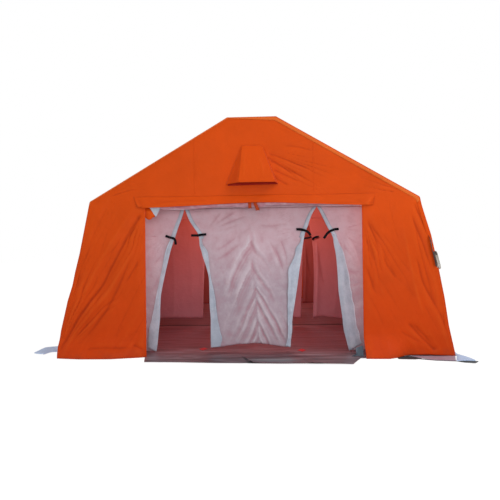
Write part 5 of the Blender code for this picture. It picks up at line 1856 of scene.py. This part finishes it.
@dataclass
class GuyRope:
    """The guy rope: a hank of laid rope hung by a lashing from the ring of a strap on the right-hand wall."""

    shape: TentShape
    place_y: float = -3.72
    strap_top: float = 1.62
    strap_length: float = 0.175
    strap_width: float = 0.03
    webbing: float = 0.0018
    # The sewn strap's middle stands this far off the wall's line.
    sewn: float = 0.0025
    ring_radius: float = 0.022
    wire: float = 0.0035
    rope: float = 0.008
    loop_width: float = 0.084
    loop_length: float = 0.236
    turns: int = 5
    pitch: float = 0.0086
    fan: float = 0.0025
    # How far the rope lies off the wall in the ring and in its first loop.
    ring_out: float = 0.0075
    first_out: float = 0.0125
    lead: float = 0.018
    steps: int = 640
    lashing_turns: float = 7.0

    def at(self, down: Array, side: Array, out: Array) -> Array:
        """Points by distance down the wall from the strap's top, along Y and out from the wall."""
        _, slope, size = self.shape.lines()[0]
        z = self.strap_top - down / size + out * slope / size
        x = self.shape.base_half + slope * (self.strap_top - down / size) + out / size
        return np.stack(np.broadcast_arrays(x, self.place_y + side, z), -1)

    def outward(self) -> Point3:
        """The wall's outward direction."""
        _, slope, size = self.shape.lines()[0]
        return (1 / size, 0.0, -slope / size)

    def hank_path(self) -> tuple[Array, float]:
        """The rope's line: out of the ring, then round upright loops that step outwards as they go.

        Returns:
            The points, and the rope's length.
        """
        radius, run = self.loop_width / 2, self.loop_length - self.loop_width
        around = math.tau * radius + 2 * run
        distance = np.linspace(0.0, self.turns * around, self.steps)
        # A loop starts at its top: a quarter turn, a run down, half a turn, a run up and a quarter turn.
        stops = np.cumsum((0.0, math.pi * radius / 2, run, math.pi * radius, run, math.pi * radius / 2))
        angle = np.interp(distance % around, stops, np.array((0.0, 0.5, 0.5, 1.5, 1.5, 2.0)) * math.pi)
        down = radius * (1 - np.cos(angle))
        down += np.interp(distance % around, stops, (0.0, 0.0, run, run, 0.0, 0.0))
        spread = 1 + self.fan / self.pitch * down / self.loop_length
        out = self.first_out + self.pitch * distance / around * spread
        ring_low = self.hank_top() - self.lead + 0.001
        start = np.linspace(0, 1, 9, endpoint=False)
        leaving = self.ring_out + (self.first_out - self.ring_out) * smooth(start)
        lead = self.at(ring_low + self.lead * start, 0.0, leaving)
        path = np.vstack((lead, self.at(ring_low + self.lead + down, radius * np.sin(angle), out)))
        # Averaged with its neighbours, the path leaves the ring in a curve.
        for _ in range(6):
            path[1:14] = (path[:13] + 2 * path[1:14] + path[2:15]) / 4
        return path, float(distance_along(path)[-1])

    def hank_top(self) -> float:
        """The distance from the strap's top to the hank's."""
        return self.strap_length + self.ring_radius * 1.7 + self.lead

    def lashing(self) -> Made:
        """Dark cord wound round the top of the hank, wider where the loops are."""
        a = np.linspace(0, math.tau * self.lashing_turns, int(self.lashing_turns * 40))
        middle = self.first_out + self.pitch * self.turns / 2
        depth = 0.006 + 0.0068 * a / math.tau
        radius = self.loop_width / 2
        reach = radius * np.sqrt(1 - (1 - np.minimum(depth / radius, 1.0)) ** 2)
        side = (self.rope * 0.5 + reach + 0.004) * np.cos(a)
        out = np.maximum(middle + (self.pitch * self.turns / 2 + 0.012) * np.sin(a), 0.0045)
        path = self.at(self.hank_top() + depth, side, out)
        made = sweep("hank_lashing", path, (0.0, 0.0, 1.0), np.full(8, 0.0024), LASHING.material(), twist=60,
                     lobes=0.2)
        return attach(made, "tent")

    def whipping(self, path: Array) -> Made:
        """The whipped end of the rope: a close winding of thread with a rounded tip."""
        end, ahead = path[-1], path[-1] - path[-4]
        ahead = ahead / np.linalg.norm(ahead)
        share = np.linspace(0, 1, 15)
        line = end + ahead * (share[:, None] * 0.024 - 0.020)
        made = sweep("rope_whipping", line, self.outward(), np.full(14, self.rope * 0.56), LASHING.material())
        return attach(made, "tent")

    def strap(self) -> None:
        """The webbing strap, sewn flat to the wall and turned up through the ring."""
        a = np.linspace(0, math.pi, 8)
        tail = np.linspace(self.strap_length, self.strap_length - 0.05, 8)[1:]
        sewn = np.linspace(0.0, self.strap_length, 30)
        down = np.concatenate((sewn, self.strap_length + 0.006 * np.sin(a), tail))
        out = self.sewn + np.concatenate((np.zeros(30), 0.0048 * (1 - np.cos(a)), np.full(7, 0.0096)))
        made = ribbon("guy_strap_webbing", self.at(down, 0.0, out), self.outward(), self.strap_width,
                      STRAP_WEBBING, self.webbing)
        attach(made, "tent")
        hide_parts("guy_strap")

    def strap_tail(self) -> None:
        """The strap's free end: it hangs in front of the hank, turned so that its face shows."""
        down = np.linspace(0.004, 0.445, 60)
        twist = ((0.0, 5), (0.03, 32), (0.12, 44), (0.20, 30), (0.27, 40), (0.30, 66), (0.40, 74),
                 (0.445, 60))
        turn = np.radians(straight(twist, down))
        out = -0.012 + 0.5 * self.strap_width * np.sin(turn)
        side = -0.5 * self.loop_width - 0.014 - 0.004 * np.sin(down * 22)
        path = self.at(down, side * smooth(down / 0.08), out)
        normals = np.outer(np.cos(turn), self.outward()) + np.outer(np.sin(turn), (0.0, -1.0, 0.0))
        made = ribbon("guy_strap_tail", path, normals, self.strap_width, STRAP_WEBBING,
                      self.webbing)
        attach(made, "tent")

    def ring(self) -> None:
        """The strap's steel ring: round wire carried round a circle that lies against the wall."""
        a = np.linspace(0, math.tau, 48, endpoint=False)
        middle = self.strap_length + self.ring_radius * 0.7
        path = self.at(middle + self.ring_radius * np.cos(a), self.ring_radius * np.sin(a), 0.0062)
        made = sweep("guy_ring", path, self.outward(), np.full(12, self.wire), STEEL_RING.material(),
                     closed_path=True)
        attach(made, "tent")

    def build(self) -> None:
        self.strap()
        self.strap_tail()
        self.ring()
        path, length = self.hank_path()
        made = sweep("guy_rope_hank", path, self.outward(), np.full(16, self.rope / 2), ROPE_YARN.material(),
                     twist=28.0, lobes=0.14)
        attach(made, "tent")
        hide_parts("guy_hank")
        pieces = [self.lashing(), self.whipping(path)]
        LOG.info("guy_rope_hank: %.3f m of rope", length)


def dress_nodes(finish: Any, slot: Slot, names: Sequence[str]) -> None:
    """Gives CAD nodes that stay a finish in place of their plain one."""
    material = finish.material()
    for name in names:
        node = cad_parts[name]
        for holder in node.material_slots:
            holder.material = material
        LOG.info("%s: %s, slot %s", name, material.name, slot.value)


def stand(made: Made, right: Array, up: Array, back: Array, place: Point3) -> None:
    """Puts a camera or lamp in the scene at a place, turned by its three axes."""
    bpy.context.scene.collection.objects.link(made)
    matrix = np.eye(4)
    matrix[:3] = np.column_stack((right, up, back, place))
    made.matrix_world = Matrix(matrix.tolist())


@dataclass
class Studio:
    """The camera at the photograph's place, plain soft light, and a pale floor that shows white."""

    place: Point3 = (0.1733, -9.624, 1.376)
    yaw: float = 0.0365
    pitch: float = 0.0089
    roll: float = -0.0121
    # The lens has a focal length of 439.1 pixels in the photograph's 500.
    focal_pixels: float = 439.1
    frame_pixels: float = 500.0
    sensor: float = 36.0
    floor_half: float = 80.0
    # The floor lies a little under the tent's feet.
    floor_drop: float = 0.002
    floor_glow: float = 0.87
    # The sky's strength as light; it is 1 where seen.
    sky_light: float = 0.55

    def camera(self) -> None:
        """Places the camera: turned from +Y by its yaw, raised by its pitch and rolled."""
        sy, cy, sp, cp = math.sin(self.yaw), math.cos(self.yaw), math.sin(self.pitch), math.cos(self.pitch)
        ahead = np.array((-sy * cp, cy * cp, sp))
        level = np.array((cy, sy, 0.0))
        above = np.cross(level, ahead)
        right = math.cos(self.roll) * level + math.sin(self.roll) * above
        up = math.cos(self.roll) * above - math.sin(self.roll) * level
        data = bpy.data.cameras.new("camera")
        data.sensor_width = self.sensor
        data.sensor_fit = "HORIZONTAL"
        data.lens = self.focal_pixels / self.frame_pixels * self.sensor
        data.clip_end = 200.0
        made = bpy.data.objects.new("camera", data)
        stand(made, right, up, -ahead, self.place)
        bpy.context.scene.camera = made

    @staticmethod
    def seen(tree: Tree) -> Any:
        """1 for rays from the camera, and for mirrored and transmitted ones."""
        camera, mirrored, passed = (add(tree, "LightPath", out=f"Is {kind} Ray")
                                    for kind in ("Camera", "Glossy", "Transmission"))
        both = add(tree, "Math", (camera, mirrored), operation="MAXIMUM")
        return add(tree, "Math", (both, passed), operation="MAXIMUM")

    def floor(self) -> None:
        """A wide pale floor: it glows white where seen, but for shadows, and is plain matt for light."""
        material = bpy.data.materials.new("pale_floor")
        material.use_nodes = True
        tree = material.node_tree
        tree.nodes.clear()
        matt, faint = (add(tree, "BsdfDiffuse", {"Color": (grey, grey, grey, 1.0)}) for grey in (0.75, 0.30))
        glow = add(tree, "Emission", {"Color": (1.0, 1.0, 1.0, 1.0), "Strength": self.floor_glow})
        shown = add(tree, "AddShader", (faint, glow))
        add(tree, "OutputMaterial", {"Surface": add(tree, "MixShader", (self.seen(tree), matt, shown))})
        line = np.linspace(-self.floor_half, self.floor_half, 3)
        x, y = np.meshgrid(line, line)
        points = np.stack((x, y, 0 * x - self.floor_drop), -1).reshape(-1, 3)
        made = mesh_object("studio_floor", points, grid_quads(3, 3), material)

    def world(self) -> None:
        """An even white sky: white where seen, dimmer as light."""
        world = bpy.data.worlds.new("studio")
        bpy.context.scene.world = world
        world.use_nodes = True
        tree = world.node_tree
        tree.nodes.clear()
        strength = add(tree, "MapRange", (self.seen(tree), 0.0, 1.0, self.sky_light, 1.0))
        sky = add(tree, "Background", {"Color": (1.0, 1.0, 1.0, 1.0), "Strength": strength})
        add(tree, "OutputWorld", {"Surface": sky})

    def lamp(self, name: str, place: Point3, aim: Point3, size: Point2, watts: float) -> None:
        """A soft rectangular lamp, which doesn't show itself."""
        data = bpy.data.lights.new(name, "AREA")
        data.shape = "RECTANGLE"
        data.size, data.size_y = size
        data.energy = watts
        made = bpy.data.objects.new(name, data)
        back = np.array(place) - np.array(aim)
        back = back / np.linalg.norm(back)
        right = np.cross((0.0, 0.0, 1.0) if abs(back[2]) < 0.99 else (0.0, 1.0, 0.0), back)
        right = right / np.linalg.norm(right)
        stand(made, right, np.cross(back, right), back, place)
        made.visible_camera = False

    def build(self) -> None:
        """Makes the camera, the floor, the sky and the lamps."""
        self.camera()
        self.floor()
        self.world()
        self.lamp("key", (6.8, -9.0, 8.0), (0.0, -2.0, 1.0), (4.0, 4.0), 270)
        self.lamp("fill", (0.5, -13.0, 2.4), (0.0, -3.5, 1.2), (6.0, 3.0), 170)
        for side in (-1, 1):
            # Light that comes through the skin beside the doorway.
            aim = (0.9 * side, -3.46, 1.1)
            self.lamp(f"porch_{side}", (1.95 * side, -3.60, 1.15), aim, (0.2, 1.7), 4.0 + side)
        for number, y in enumerate((-2.4, 0.0, 2.5), 1):
            self.lamp(f"room_{number}", (0.0, y, 2.75), (0.0, y, 0.0), (1.6, 1.2), 52)
        bpy.context.scene.view_settings.view_transform = "Standard"


def main() -> None:
    """Builds the tent's pieces in order, then the studio."""
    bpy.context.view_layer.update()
    shape = TentShape.from_frame()
    GuyRope(shape).build()
    Skin(shape).build()
    panels = ("front_gable", "front_panel_left", "front_panel_right")
    front = EndWall(shape, "front_wall", -1.0, panels, FRONT_FOLDS, kick=FRONT_KICK, rise=FRONT_RISE,
                    arch=FRONT_ARCH)
    front.build()
    rear = EndWall(shape, "rear_wall_cloth", 1.0, ("rear_wall",), REAR_FOLDS, seed=56)
    rear.build()
    DoorHead(front).build()
    RearDoor(shape).build()
    VentHood(shape, front, "front", -1.0).build()
    VentHood(shape, rear, "rear", 1.0).build()
    first = Partition(shape, 1, -3.45, FRONT_CURTAIN, front_edges(-0.97, 0.89), CENTRE_FOLDS, side_hem=0.015,
                      centre_hem=0.066, centre_arch=0.055, flute=0.009)
    second = Partition(shape, 2, -1.2925, MIDDLE_CURTAIN, inner_edges(0.93), MIDDLE_FOLDS,
                       right_rise=MIDDLE_RIGHT_RISE)
    third = Partition(shape, 3, 1.2075, REAR_CURTAIN, inner_edges(0.93), MIDDLE_FOLDS)
    for partition, ties in ((first, FIRST_TIES), (second, SECOND_TIES), (third, ())):
        partition.build()
        for number, (word, points) in enumerate(ties, 1):
            partition.tie(number, word, points)
    Ground(shape).build()
    tubes = [f"leg_{side}_{number}" for side in SIDES for number in HOOPS] + HOOP_NODES
    tubes += [f"ridge_bar_{number}" for number in HOOPS]
    tubes += ["purlin_eave_left", "purlin_eave_right", "purlin_ridge"]
    dress_nodes(ALUMINIUM, Slot.TUBE, tubes)
    dress_nodes(STAINLESS, Slot.STEEL, ("shower_stand",))
    dress_nodes(GREY_PLASTIC, Slot.PLASTIC, ("shower_head_left", "shower_head_right"))
    dress_nodes(RED_PLASTIC, Slot.LEVER, ("shower_valve_lever",))
    Studio().build()


if __name__ == "__main__":
    main()
